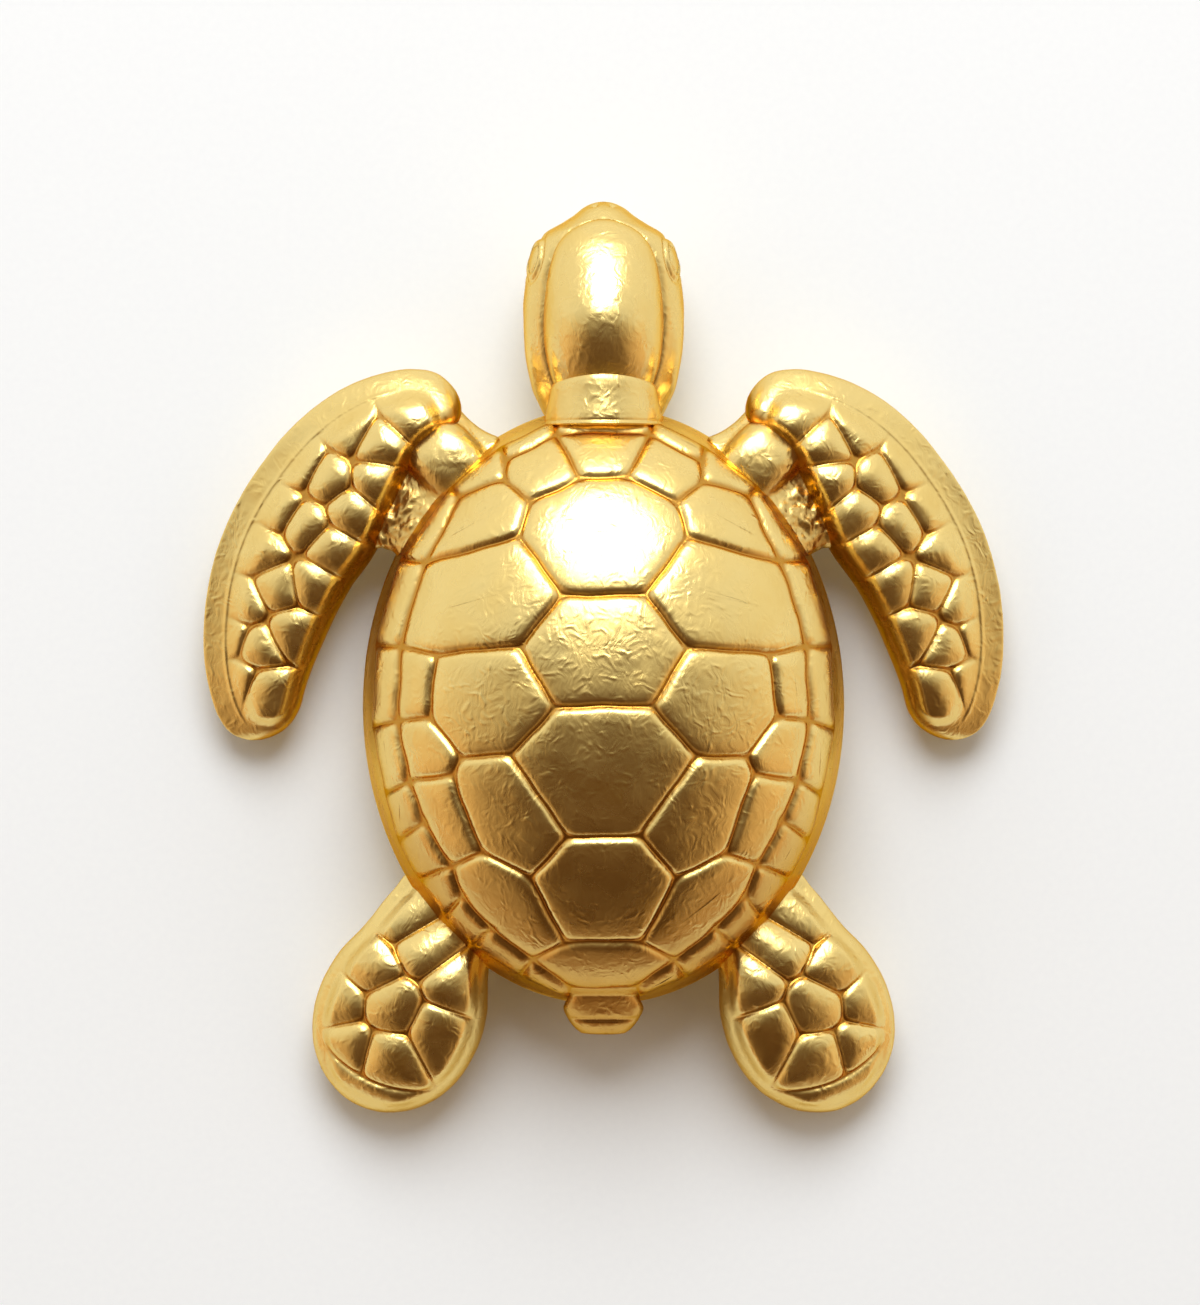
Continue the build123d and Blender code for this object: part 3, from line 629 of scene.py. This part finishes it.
def scute_rings(corners):
    """Rings of points from a scute's border in to its middle line."""
    border = np.concatenate([
        edge_points(a, b, SEAM_SAMPLE) for a, b in zip(corners, np.roll(corners, -1, axis=0))
    ])
    middle = border.mean(0)
    axes = np.linalg.svd(border - middle, full_matrices=False)[2]
    half_long, half_short = np.abs((border - middle) @ axes.T).max(0)
    spine = 0.95 * max(half_long - half_short, 0)
    target = middle + np.clip((border - middle) @ axes[0], -spine, spine)[:, None] * axes[0]
    ray = np.linalg.norm(target - border, axis=1).mean()
    steps = [step / ray for step in SEAM_STEPS if step < 0.82 * ray] + [0.92]
    return [border + (target - border) * step for step in steps]


def scute_corners():
    """Corners of all scutes in plan."""
    margins = [[RIM[i - 1], RIM[i], RING[i], RING[i - 1]] for i in range(1, len(RIM))]
    margins[1].insert(3, C0_REAR)
    right = FLANK_SCUTES + margins
    shares = [scute + [(-x, y) for x, y in reversed(scute)] for scute in SPINE_SCUTES]
    shares += right + [[(-x, y) for x, y in reversed(scute)] for scute in right]
    return [SHELL_CENTRE + np.array(scute) * SHELL_HALVES for scute in shares]


def carapace_mesh():
    """The carved dome: a patch of rings for each scute, the smooth lip round them and the plain inside."""
    plan, distance, faces, known = [], [], [], {}

    def number(point, gap):
        key = (round(point[0], 4), round(point[1], 4))
        if key not in known:
            known[key] = len(plan)
            plan.append(point)
            distance.append(gap)
        return known[key]

    edges = {}
    for corners in scute_corners():
        rings = scute_rings(corners)
        rows = [[number(p, d) for p, d in zip(ring, side_distance(ring, corners))] for ring in rings]
        around = len(rows[0])
        for outer, inner in zip(rows, rows[1:]):
            faces += [(outer[k - 1], outer[k], inner[k], inner[k - 1]) for k in range(around)]
        faces.append(tuple(rows[-1]))
        for k in range(around):
            edges[rows[0][k - 1], rows[0][k]] = True
    # The field's outer border is made of the edges that no second scute shares
    follow = {a: b for a, b in edges if (b, a) not in edges}
    reverse = sum(
        plan[a][0] * plan[b][1] - plan[b][0] * plan[a][1] for a, b in follow.items()
    ) < 0
    loop = [next(iter(follow))]
    while follow[loop[-1]] != loop[0]:
        loop.append(follow[loop[-1]])
    if reverse:
        loop.reverse()
    plan = hand_drift(np.array(plan))
    points = [on_dome(plan)]
    gaps = [np.array(distance)]
    relief = [np.ones(len(plan))]
    rows = [loop]

    def add_ring(ring, gap, rise):
        first = sum(map(len, points))
        rows.append(list(range(first, first + len(ring))))
        points.append(ring)
        gaps.append(gap)
        relief.append(np.full(len(ring), rise))

    unit = (plan[loop] - SHELL_CENTRE) / SHELL_HALVES
    radius = np.linalg.norm(unit, axis=1)
    outward = unit / radius[:, None]
    start = np.arcsin(radius)
    for share in graded(LIP_STEPS)[1:]:
        angle = start + (pi / 2 - start) * share
        ring = SHELL_CENTRE + outward * np.sin(angle)[:, None] * SHELL_HALVES
        add_ring(on_dome(ring), (angle - start) * DOME_HEIGHT, LIP_RELIEF * (1 - share**6))
    for angle in np.linspace(pi / 2, 0.06, 12):
        ring = SHELL_CENTRE + outward * sin(angle) * (SHELL_HALVES - SHELL_WALL)
        height = np.full(len(loop), RIM_HEIGHT + (DOME_HEIGHT - SHELL_WALL) * cos(angle))
        add_ring(np.column_stack([ring, height]), np.full(len(loop), PLAIN_GAP), 0.0)
    for outer, inner in zip(rows, rows[1:]):
        faces += [(outer[k], outer[k - 1], inner[k - 1], inner[k]) for k in range(len(loop))]
    faces.append(tuple(rows[-1][::-1]))
    relief = np.concatenate(relief)
    return np.concatenate(points), faces, np.concatenate(gaps), relief, (relief > 0).astype(float)


# Plastron

def plastron_mesh():
    """The lower shell: its curved side, a rounded edge, the flat belly with its seams, and a flat top."""
    around = 480
    turn = np.linspace(0, 2 * pi, around, endpoint=False)
    circle = np.column_stack([np.cos(turn), np.sin(turn)])
    profile = [(0.0, RIM_HEIGHT), (0.5, RIM_HEIGHT)]
    for t in np.linspace(0, 1, 40):
        depth = t * 0.97 * RIM_HEIGHT
        profile.append(((1 - (depth / BELLY_DEPTH) ** 2) ** 0.5, RIM_HEIGHT - depth))
    edge = profile[-1][0]
    profile += [(edge - 0.004, 0.12), (edge - 0.010, 0.03)]
    profile += [(share * (edge - 0.018), 0.0) for share in np.linspace(1, 0, 90)]
    rows = []
    for share, height in profile:
        plan = SHELL_CENTRE + circle * SHELL_HALVES * share
        rows.append(np.column_stack([plan, np.full(around, height)]))
    points, faces = skin(np.array(rows))
    across = np.abs(points[:, 1:2] - SHELL_CENTRE_Y - BELLY_SEAMS * BELLY_SHARE * SHELL_HALF_LENGTH).min(1)
    gap = np.minimum(across, np.abs(points[:, 0]))
    belly = points[:, 2] < 0.2
    groove = np.where(belly, BELLY_SEAM_DEPTH * ridge(gap, 0, BELLY_SEAM_WIDTH), 0)
    points[:, 2] += groove
    side = (points[:, 2] < RIM_HEIGHT - 0.05).astype(float) * ~belly
    return points, faces, side


def screw_wells():
    """A cutter for the four countersunk screw holes in the belly."""
    around = 64
    turn = np.linspace(0, 2 * pi, around, endpoint=False)
    points, faces = [], []
    for sign_x in (-1, 1):
        for sign_y in (-1, 1):
            x = sign_x * SCREW_HALF_SPACING[0]
            y = SHELL_CENTRE_Y + sign_y * SCREW_HALF_SPACING[1]
            rows = [
                np.column_stack([x + r * np.cos(turn), y + r * np.sin(turn), np.full(around, z)])
                for r, z in WELL_LINE
            ]
            hole, sides = skin(np.array(rows))
            first = sum(map(len, points))
            faces += [[i + first for i in face] for face in facing_out(hole, sides)]
            points.append(hole)
    mesh = bpy.data.meshes.new("screw_wells")
    mesh.from_pydata((np.concatenate(points) * MM).tolist(), [], faces)
    wells = bpy.data.objects.new("screw_wells", mesh)
    bpy.context.scene.collection.objects.link(wells)
    return wells


# Limbs

SCALE_EASE = 2.4
SCALE_CREST = 0.12


def cell_distance(points, seeds):
    """For points among seeds, the eased distance to the border of the cell of the nearest seed."""
    apart = ((points[:, None] - seeds) ** 2).sum(2)
    own = apart.argmin(1)
    spread = np.linalg.norm(seeds[own][:, None] - seeds, axis=2)
    gap = (apart - apart[np.arange(len(points)), own][:, None]) / np.maximum(2 * spread, 1e-9)
    gap[np.arange(len(points)), own] = np.inf
    return np.maximum(0, SCALE_CREST + eased_least(gap.T, SCALE_EASE))


def fade(distance, start, reach):
    """A smooth step from 0 at the start to 1 one reach further on."""
    t = np.clip((distance - start) / reach, 0, 1)
    return t * t * (3 - 2 * t)


def blade_mesh():
    """The right front blade: rounded in front, steep behind, with scales that fade into the front band."""
    angle = BLADE_SECTIONS[0, 0] + np.ptp(BLADE_SECTIONS[:, 0]) * graded(300)
    radius, width, thick, height = rounded_columns(BLADE_SECTIONS, angle, [2, 3]).T[:, :, None]
    turn = upper_weighted_turn(190, 60)
    fullness = np.where(np.cos(turn) > 0, 0.92, 0.86)
    beside = width * power(np.cos(turn), fullness)
    across = radius + beside
    # The upper side leans to the front edge, so its ridge runs near the rear edge
    up = height + thick * power(np.sin(turn), fullness) - BLADE_TILT * beside * np.maximum(np.sin(turn), 0)
    bearing = np.radians(angle)[:, None]
    x = BLADE_CENTRE[0] + across * np.cos(bearing)
    y = BLADE_CENTRE[1] + across * np.sin(bearing)
    points, faces = skin(np.stack([x, y, up], axis=2))
    laid = np.stack([np.broadcast_to(bearing * BLADE_RADIUS, across.shape), across, up - height], axis=2)
    laid = skin(laid)[0]
    seeds = np.column_stack([np.radians(BLADE_SCALES[:, 0]), BLADE_SCALES[:, 1]]) * BLADE_RADIUS
    distance = cell_distance(laid[:, :2], seeds)
    at = np.degrees(laid[:, 0] / BLADE_RADIUS)
    middle, half = rounded_columns(BLADE_SECTIONS, at, [2, 3])[:, :2].T
    tip, root = np.radians(BLADE_SECTIONS[[0, -1], 0]) * BLADE_RADIUS
    leading, trailing = middle + half - laid[:, 1], laid[:, 1] - middle + half
    # The scales fade out into the front band, the rear edge, the tip and the root
    upper = fade(laid[:, 2], 0, 1.3)
    relief = upper * fade(leading, BLADE_BORDER, 3.0) * fade(trailing, BLADE_RIM, 1.7)
    relief *= fade(laid[:, 0], tip + 1.2, 1.8) * fade(-laid[:, 0], 2.4 - root, 2.0)
    bead = BLADE_BEAD * ridge(leading, BLADE_BORDER, 0.2)
    points[:, 2] += upper * bead * fade(laid[:, 0], tip + 1.5, 2.0) * fade(-laid[:, 0], 5.0 - root, 3.0)
    # The last value is the painted shade on the steep rear wall
    return points, faces, distance, relief, 1 - fade(trailing, 1.2, 1.1)


def hind_mesh():
    """The right hind paddle: superelliptic sections along a straight line, with scales on top."""
    along = HIND_SECTIONS[0, 0] + np.ptp(HIND_SECTIONS[:, 0]) * graded(260)
    width, thick, height = rounded_columns(HIND_SECTIONS, along, [1, 2]).T[:, :, None]
    turn = upper_weighted_turn(180, 60)
    across = width * power(np.cos(turn), 0.95)
    heading = np.array([cos(HIND_HEADING), sin(HIND_HEADING)])
    side = np.array([-heading[1], heading[0]])
    far = along[:, None]
    # The upper side swells from the shell to its middle
    crown = np.where(turn < pi, 0.52 + 0.66 * fade(far, -2.5, 12.0), 1.0)
    lean = HIND_TILT * across * np.maximum(np.sin(turn), 0)
    up = height + thick * crown * power(np.sin(turn), 0.95) - lean
    x = HIND_ROOT[0] + far * heading[0] + across * side[0]
    y = HIND_ROOT[1] + far * heading[1] + across * side[1]
    points, faces = skin(np.stack([x, y, up], axis=2))
    laid = skin(np.stack([np.broadcast_to(far, across.shape), across, up - height], axis=2))[0]
    cell = cell_distance(laid[:, :2], HIND_SCALES)
    half = rounded_columns(HIND_SECTIONS, laid[:, 0], [1, 2])[:, 0]
    # The scales end at a seam before the paddle's smooth rounded end
    rear = HIND_SCALED_LENGTH - 0.04 * laid[:, 1] ** 2 - laid[:, 0]
    eased = eased_least([cell, np.abs(rear)], SCALE_EASE)
    distance = np.where(rear > 0, np.maximum(0, eased), -rear)
    side_fade = fade(half - np.abs(laid[:, 1]), HIND_BORDER, 1.8)
    relief = fade(laid[:, 2], 0, 1.4) * side_fade * np.where(rear > 0, 1.0, 0.6)
    relief *= fade(HIND_SECTIONS[-1, 0] - laid[:, 0], 0.8, 2.2)
    return points, faces, distance, relief, 0 * relief


def knuckle_mesh():
    """The shoulder's pillow: a roll that lies along the rim, round in section, with blunt ends."""
    rise = np.linspace(-pi / 2, pi / 2, 70)[:, None]
    turn = np.linspace(0, 2 * pi, 120, endpoint=False)
    blunt = 0.52
    along = KNUCKLE_HALVES[1] * power(np.sin(rise), 0.7) * np.ones_like(turn)
    out = KNUCKLE_HALVES[0] * power(np.cos(rise), blunt) * power(np.cos(turn), 0.9)
    up = KNUCKLE_HALVES[2] * power(np.cos(rise), blunt) * power(np.sin(turn), 0.9)
    x = KNUCKLE_CENTRE[0] + out * cos(KNUCKLE_BEARING) - along * sin(KNUCKLE_BEARING)
    y = KNUCKLE_CENTRE[1] + out * sin(KNUCKLE_BEARING) + along * cos(KNUCKLE_BEARING)
    return skin(np.stack([x, y, KNUCKLE_CENTRE[2] + up], axis=2))


def web_mesh():
    """The web of skin from the shell to the blade, hollowed at its front and rear edges."""
    across = np.linspace(0, 1, 60)[:, None, None]
    turn = np.linspace(0, 2 * pi, 90, endpoint=False)

    def curve(edge):
        start, middle, end = edge
        bend = 2 * middle - (start + end) / 2
        return (1 - across) ** 2 * start + 2 * across * (1 - across) * bend + across**2 * end

    front, rear = curve(WEB_FRONT), curve(WEB_REAR)
    centre, half = (front + rear) / 2, (front - rear) / 2
    plan = centre + half * power(np.cos(turn), 0.8)[None, :, None]
    up = WEB_HEIGHT + WEB_FALL * (0.5 - across[:, :, 0]) + WEB_HALF_THICKNESS * power(np.sin(turn), 0.8)
    rows = np.concatenate([plan, up[:, :, None]], axis=2)
    ends = [np.broadcast_to(rows[k].mean(0), rows[k].shape)[None] for k in (0, -1)]
    return skin(np.concatenate([ends[0], rows, ends[1]]))


# Head, collar and tail

def head_mesh():
    """The head: the jaw's body and the skull's dome, run into one skin with a crease between them."""
    place = JAW_SECTIONS[0, 0] + np.ptp(JAW_SECTIONS[:, 0]) * graded(230)
    width, height, centre = rounded_columns(JAW_SECTIONS, place, [1, 2]).T[:, :, None]
    y = (HEAD_ROOT + place * HEAD_LENGTH)[:, None]
    turn = np.linspace(0, 2 * pi, 320, endpoint=False)
    cosine, sine = np.cos(turn), np.sin(turn)
    inside = np.clip(y[:, 0], SKULL_SECTIONS[0, 0], SKULL_SECTIONS[-1, 0])
    dome = rounded_columns(SKULL_SECTIONS, inside, [1, 2])
    least = 0.01
    skull_width, skull_height = np.maximum(dome, least).T[:, :, None]
    jaw_width, jaw_height = np.maximum(width, least), np.maximum(height, least)

    def outside(reach):
        """How far points at a reach from the jaw's axis lie outside jaw and skull, run into one form."""
        x, z = reach * cosine, centre + reach * sine
        jaw = np.hypot(x / jaw_width, (z - centre) / jaw_height) - 1
        # The dome's hidden lower half is shallow and ends inside the jaw
        tall = np.where(z > SKULL_HEIGHT, skull_height, np.minimum(skull_height, SKULL_ROOT))
        skull = np.hypot(x / skull_width, (z - SKULL_HEIGHT) / tall) - 1
        jaw = jaw * np.minimum(jaw_width, jaw_height)
        skull = skull * np.minimum(skull_width, tall)
        return BROW_CREASE * ridge(jaw, skull, 0.32) + eased_least([jaw, skull], HEAD_EASE)

    near, far = np.zeros((len(y), len(turn))), np.full((len(y), len(turn)), 16.0)
    for _ in range(40):
        radius = (near + far) / 2
        filled = outside(radius) < 0
        near, far = np.where(filled, radius, near), np.where(filled, far, radius)
    rows = np.stack([radius * cosine, y + 0 * radius, centre + radius * sine], axis=2)
    rows[0], rows[-1] = rows[0].mean(0), rows[-1].mean(0)
    return skin(rows)


def head_features(points):
    """How far each point of the head moves out for lids, eyes, mouth and nostrils."""
    move = np.zeros(len(points))
    folded = np.column_stack([np.abs(points[:, 0]), points[:, 1], points[:, 2]])
    local = folded - EYE
    outward = EYE_OUTWARD / np.linalg.norm(EYE_OUTWARD)
    rear = EYE_REARWARD - outward * (EYE_REARWARD @ outward)
    rear /= np.linalg.norm(rear)
    lift = np.cross(rear, outward)
    lift *= np.sign(lift[2])
    along, up = local @ rear, local @ lift
    oval = np.sqrt((along / EYE_HALVES[0]) ** 2 + ((up - 0.06 * along) / EYE_HALVES[1]) ** 2)
    near = np.abs(local @ outward) < 2.6
    # A fold round the lids, and a fine groove between them and the ball
    lids = 0.1 * ridge(oval, 1.12, 0.17) - 0.18 * ridge(oval, 1.5, 0.14)
    ball = 0.1 * np.maximum(0, 1 - (oval / 0.95) ** 2) - 0.2 * ridge(oval, 0.92, 0.07)
    move += np.where(near, lids + ball, 0)
    # The mouth's line rises and falls from its corner to the beak, with the upper lip over it
    level = MOUTH_HEIGHT - 0.45 * np.cos((points[:, 1] - 38) / 12 * pi)
    above = points[:, 2] - level
    line = np.clip((points[:, 1] - MOUTH_CORNER) / 2.0, 0, 1)
    move -= 0.34 * line * ridge(above, 0, 0.2)
    move += 0.16 * line * ridge(above, 0.75, 0.45)
    move -= 0.34 * ridge(np.linalg.norm(folded - NOSTRIL, axis=1), 0, 0.36)
    return move


def point_normals(piece):
    """The normals of a piece's points."""
    values = np.empty(len(piece.data.vertices) * 3)
    piece.data.vertex_normals.foreach_get("vector", values)
    return values.reshape(-1, 3)


def collar_mesh():
    """The neck's collar: a plain ring that leans forward and widens towards the shell."""
    stations = np.arange(len(COLLAR_LINE))
    table = np.column_stack([stations, COLLAR_LINE])
    place, radius = smooth_columns(table, np.linspace(0, len(COLLAR_LINE) - 1, 110)).T[:, :, None]
    radius = np.maximum(radius, 0)
    turn = np.linspace(0, 2 * pi, 200, endpoint=False)
    lean = COLLAR_LEAN * np.clip((place - COLLAR_LEAN_START) / COLLAR_LEAN_REACH, 0, 1)
    y = place + lean * (np.sin(turn) - 1) * radius / COLLAR_RADIUS
    rows = np.stack([radius * np.cos(turn), y, COLLAR_HEIGHT + radius * np.sin(turn)], axis=2)
    rows[0], rows[-1] = rows[0].mean(0), rows[-1].mean(0)
    return skin(rows)


def tail_mesh():
    """The tail's short plate, with the crease across it."""
    place = TAIL_SECTIONS[0, 0] - np.ptp(TAIL_SECTIONS[:, 0]) * graded(90)
    table = TAIL_SECTIONS[::-1]
    width, thick, height = rounded_columns(table, place, [1, 2]).T[:, :, None]
    turn = np.linspace(0, 2 * pi, 140, endpoint=False)
    y = place[:, None]
    crease = 1 - 0.1 * ridge(y, TAIL_CREASE, 0.25)
    x = width * power(np.cos(turn), 0.75)
    z = height + thick * crease * power(np.sin(turn), 0.75)
    return skin(np.stack([x, y + 0 * x, z], axis=2))


def screw_mesh():
    """One countersunk screw, upside down under the belly, with a cross slot in its head."""
    shank_start = SCREW_HEAD_RADIUS - SCREW_SHANK_RADIUS + SCREW_HEAD_EDGE
    line = [
        (SCREW_HEAD_RADIUS - 0.15, 0.0), (SCREW_HEAD_RADIUS, SCREW_HEAD_EDGE),
        (SCREW_SHANK_RADIUS, shank_start), (SCREW_SHANK_RADIUS, SCREW_LENGTH - SCREW_POINT),
        (SCREW_SHANK_RADIUS - SCREW_POINT, SCREW_LENGTH), (0.0, SCREW_LENGTH),
    ]
    around = 96
    turn = np.linspace(0, 2 * pi, around, endpoint=False)
    cross = np.minimum(np.abs(np.cos(turn)), np.abs(np.sin(turn)))
    rows = []
    for share in (0.0, 0.12, 0.2, 0.3, 0.4, 0.48, 0.56, 0.64, 0.72):
        r = share * SCREW_HEAD_RADIUS
        slot = (cross * r < SLOT_HALF_WIDTH) & (share < SLOT_REACH)
        depth = np.where(slot, SLOT_DEPTH - 0.35 * share, 0.0)
        rows.append(np.column_stack([r * np.cos(turn), r * np.sin(turn), depth]))
    for r, z in line:
        rows.append(np.column_stack([r * np.cos(turn), r * np.sin(turn), np.full(around, z)]))
    return skin(np.array(rows))


# Build the pieces

gold = gilded_casting()
steel = machined_steel()
relief = relief_tree()
screws_at_corners = screw_tree()


def in_metres(sizes):
    """Sizes in millimetres, turned to metres."""
    return {key: value * MM for key, value in sizes.items()}


def carve(name, points, faces, distance, depth, recess, worked, sizes):
    """A piece of gilding, carved by the relief tree. Sizes are in millimetres."""
    attributes = {"seam_distance": distance * MM, "relief": depth, "recess": recess, "worked": worked}
    piece = mesh_object(f"{name}_casting", points, faces, **attributes)
    return apply_tree(piece, relief, material=gold, **in_metres(sizes))


def carve_plain(name, points, faces, worked, recess=0.0):
    """A piece of gilding with no seams on it, only the hand's unevenness."""
    far = np.full(len(points), PLAIN_GAP)
    return carve(name, points, faces, far, 0 * far, np.full(len(points), recess), worked, PLAIN)


def seat(piece, node):
    """Hands a finished piece to the frame in place of its CAD node."""
    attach(piece, "root")
    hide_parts(node)


# Painted shade and reflection: a deeper orange is painted on the carapace's rear rim and low on its rear
points, faces, distance, depth, worked = carapace_mesh()
unit = (points[:, :2] - SHELL_CENTRE) / SHELL_HALVES
rear_rim = fade(np.linalg.norm(unit, axis=1), 0.7, 0.25) * fade(-unit[:, 1], 0.15, 0.45)
rear = np.maximum(rear_rim, fade(-unit[:, 1], 0.64, 0.32))
carapace = carve("carapace", points, faces, distance, depth, REAR_PAINTED_SHADE * rear, worked, SCUTE_CUT)
carapace.data.set_sharp_from_angle(angle=radians(55))
seat(carapace, "carapace")

points, faces, worked = plastron_mesh()
plastron = carve_plain("plastron", points, faces, worked)
wells = screw_wells()
add_boolean(plastron, wells, "DIFFERENCE")
fixed(plastron)
bpy.data.objects.remove(wells)
plastron.data.set_sharp_from_angle(angle=radians(40))
seat(plastron, "plastron")

points, faces = screw_mesh()
screws = mesh_object("belly_screws", points, faces)
apply_tree(
    screws, screws_at_corners, material=steel, centre=(0.0, SHELL_CENTRE_Y * MM, SCREW_RECESS * MM),
    spacing_x=2 * SCREW_HALF_SPACING[0] * MM, spacing_y=2 * SCREW_HALF_SPACING[1] * MM,
)
screws.data.set_sharp_from_angle(angle=radians(30))
seat(screws, "plastron_screws")

points, faces = head_mesh()
trial = mesh_object("head_form", points, faces)
points = points + point_normals(trial) * head_features(points)[:, None]
bpy.data.objects.remove(trial)

# The third value is painted shade: the tail gets that of the shell's rear
forms = [
    ("head", (points, faces), 0.0), ("neck_collar", collar_mesh(), 0.0), ("tail", tail_mesh(), REAR_PAINTED_SHADE),
]
for node, (points, faces), tone in forms:
    seat(carve_plain(node, points, faces, np.ones(len(points)), tone), node)

blade = blade_mesh()
paddle = hind_mesh()
knuckle = knuckle_mesh()
web = web_mesh()
for side, turn in (("right", np.asarray), ("left", mirrored)):
    for limb, form in (("front", blade), ("hind", paddle)):
        points, *rest = form
        flipper = carve(f"{limb}_{side}_flipper", turn(points), *rest, np.ones(len(points)), SCALE_CUT)
        seat(flipper, f"{limb}_{side}_flipper")
    shoulder = mesh_object(f"front_{side}_shoulder_casting", turn(knuckle[0]), knuckle[1])
    skin_web = mesh_object(f"{side}_web", turn(web[0]), web[1])
    add_boolean(shoulder, skin_web, "UNION")
    even = shoulder.modifiers.new("even_skin", "REMESH")
    even.mode = "VOXEL"
    even.voxel_size = SKIN_VOXEL * MM
    even.use_smooth_shade = True
    eased = shoulder.modifiers.new("eased_folds", "SMOOTH")
    eased.factor = 0.5
    eased.iterations = 14
    fixed(shoulder)
    bpy.data.objects.remove(skin_web)
    # The skin behind the knuckle is crumpled and gets some painted shade, and the rest is nearly smooth
    spots = np.array([vertex.co for vertex in shoulder.data.vertices]) / MM
    from_armpit = np.linalg.norm(np.abs(spots[:, :2]) - ARMPIT, axis=1)
    crumple = ridge(from_armpit, 0, CRUMPLE_REACH)
    far = np.full(len(spots), PLAIN_GAP * MM)
    set_attributes(
        shoulder.data, seam_distance=far, relief=0 * far,
        recess=0.35 * crumple, worked=0.08 + 0.92 * crumple,
    )
    apply_tree(shoulder, relief, material=gold, **in_metres(ROUGH))
    seat(shoulder, f"front_{side}_shoulder")

# Floor, light and camera

bpy.ops.mesh.primitive_plane_add(size=4.0)
floor = bpy.context.object
floor.name = "floor"
floor.data.materials.append(paper_floor())

world = bpy.data.worlds.new("studio")
bpy.context.scene.world = world
world.use_nodes = True
tree = world.node_tree
tree.nodes.clear()
# A white room under a dim ceiling, which is darkest behind the zenith, with a warm wall behind the tail
DIM_TILT = radians(30)
CEILING = [
    (0.0, (1.0, 1.0, 1.0)), (0.3, (0.93, 0.93, 0.93)), (0.5, (0.82, 0.82, 0.82)),
    (0.63, (0.68, 0.68, 0.67)), (0.70, (0.48, 0.47, 0.45)), (0.77, (0.36, 0.33, 0.27)),
    (0.84, (0.2, 0.165, 0.12)), (0.92, (0.12, 0.09, 0.06)), (1.0, (0.15, 0.113, 0.075)),
]
WARM_WALL = [
    (0.0, (0.5, 0.28, 0.13)), (0.35, (1.0, 0.68, 0.4)), (0.5, (1.0, 0.86, 0.66)), (0.6, (1.0, 1.0, 1.0)),
]

direction = add_node(tree, "ShaderNodeTexCoord").outputs["Generated"]
towards = add_node(
    tree, "ShaderNodeVectorMath", {"operation": "DOT_PRODUCT"},
    {0: direction, 1: (0.0, -sin(DIM_TILT), cos(DIM_TILT))},
)
forward = add_node(tree, "ShaderNodeSeparateXYZ", None, {0: direction}).outputs["Y"]
along = add_node(tree, "ShaderNodeMapRange", None, {0: forward, 1: -1.0, 2: 1.0, 3: 0.0, 4: 1.0})
ramps = []
for value, stops in ((towards.outputs["Value"], CEILING), (along.outputs[0], WARM_WALL)):
    ramp = add_node(tree, "ShaderNodeValToRGB", None, {0: value})
    elements = ramp.color_ramp.elements
    elements.remove(elements[1])
    elements[0].position = stops[0][0]
    for position, _ in stops[1:]:
        elements.new(position)
    for element, (_, colour) in zip(elements, stops):
        element.color = (*colour, 1.0)
    ramps.append(ramp.outputs[0])
room = add_node(
    tree, "ShaderNodeMix", {"data_type": "RGBA", "blend_type": "MULTIPLY"},
    {0: 1.0, 6: ramps[0], 7: ramps[1]},
)
glow = add_node(tree, "ShaderNodeBackground", None, {"Color": room.outputs[2], "Strength": 1.0})
add_node(tree, "ShaderNodeOutputWorld", None, {"Surface": glow.outputs[0]})

LAMP_DISTANCE = 1.0
LAMP_TILT = radians(42)
lamp_data = bpy.data.lights.new("softbox", "AREA")
lamp_data.shape = "DISK"
lamp_data.size = 0.75
lamp_data.energy = 7.8
lamp_data.color = (0.97, 0.99, 1.0)
lamp = bpy.data.objects.new("softbox", lamp_data)
lamp.location = (0.0, LAMP_DISTANCE * sin(LAMP_TILT), LAMP_DISTANCE * cos(LAMP_TILT))
lamp.rotation_euler = (-LAMP_TILT, 0.0, 0.0)
bpy.context.scene.collection.objects.link(lamp)

# The photograph looks straight down; its long side spans 143.7 mm at the limbs' height
CAMERA_HEIGHT = 0.8
LIMB_HEIGHT = 6 * MM
LONG_SIDE = 143.72 * MM
PHOTO_MIDDLE = (-0.385 * MM, 0.716 * MM)
camera_data = bpy.data.cameras.new("camera")
camera_data.sensor_width = 36.0
camera_data.lens = camera_data.sensor_width * (CAMERA_HEIGHT - LIMB_HEIGHT) / LONG_SIDE
camera = bpy.data.objects.new("camera", camera_data)
camera.location = (*PHOTO_MIDDLE, CAMERA_HEIGHT)
bpy.context.scene.collection.objects.link(camera)
bpy.context.scene.camera = camera
bpy.context.scene.view_settings.view_transform = "Standard"
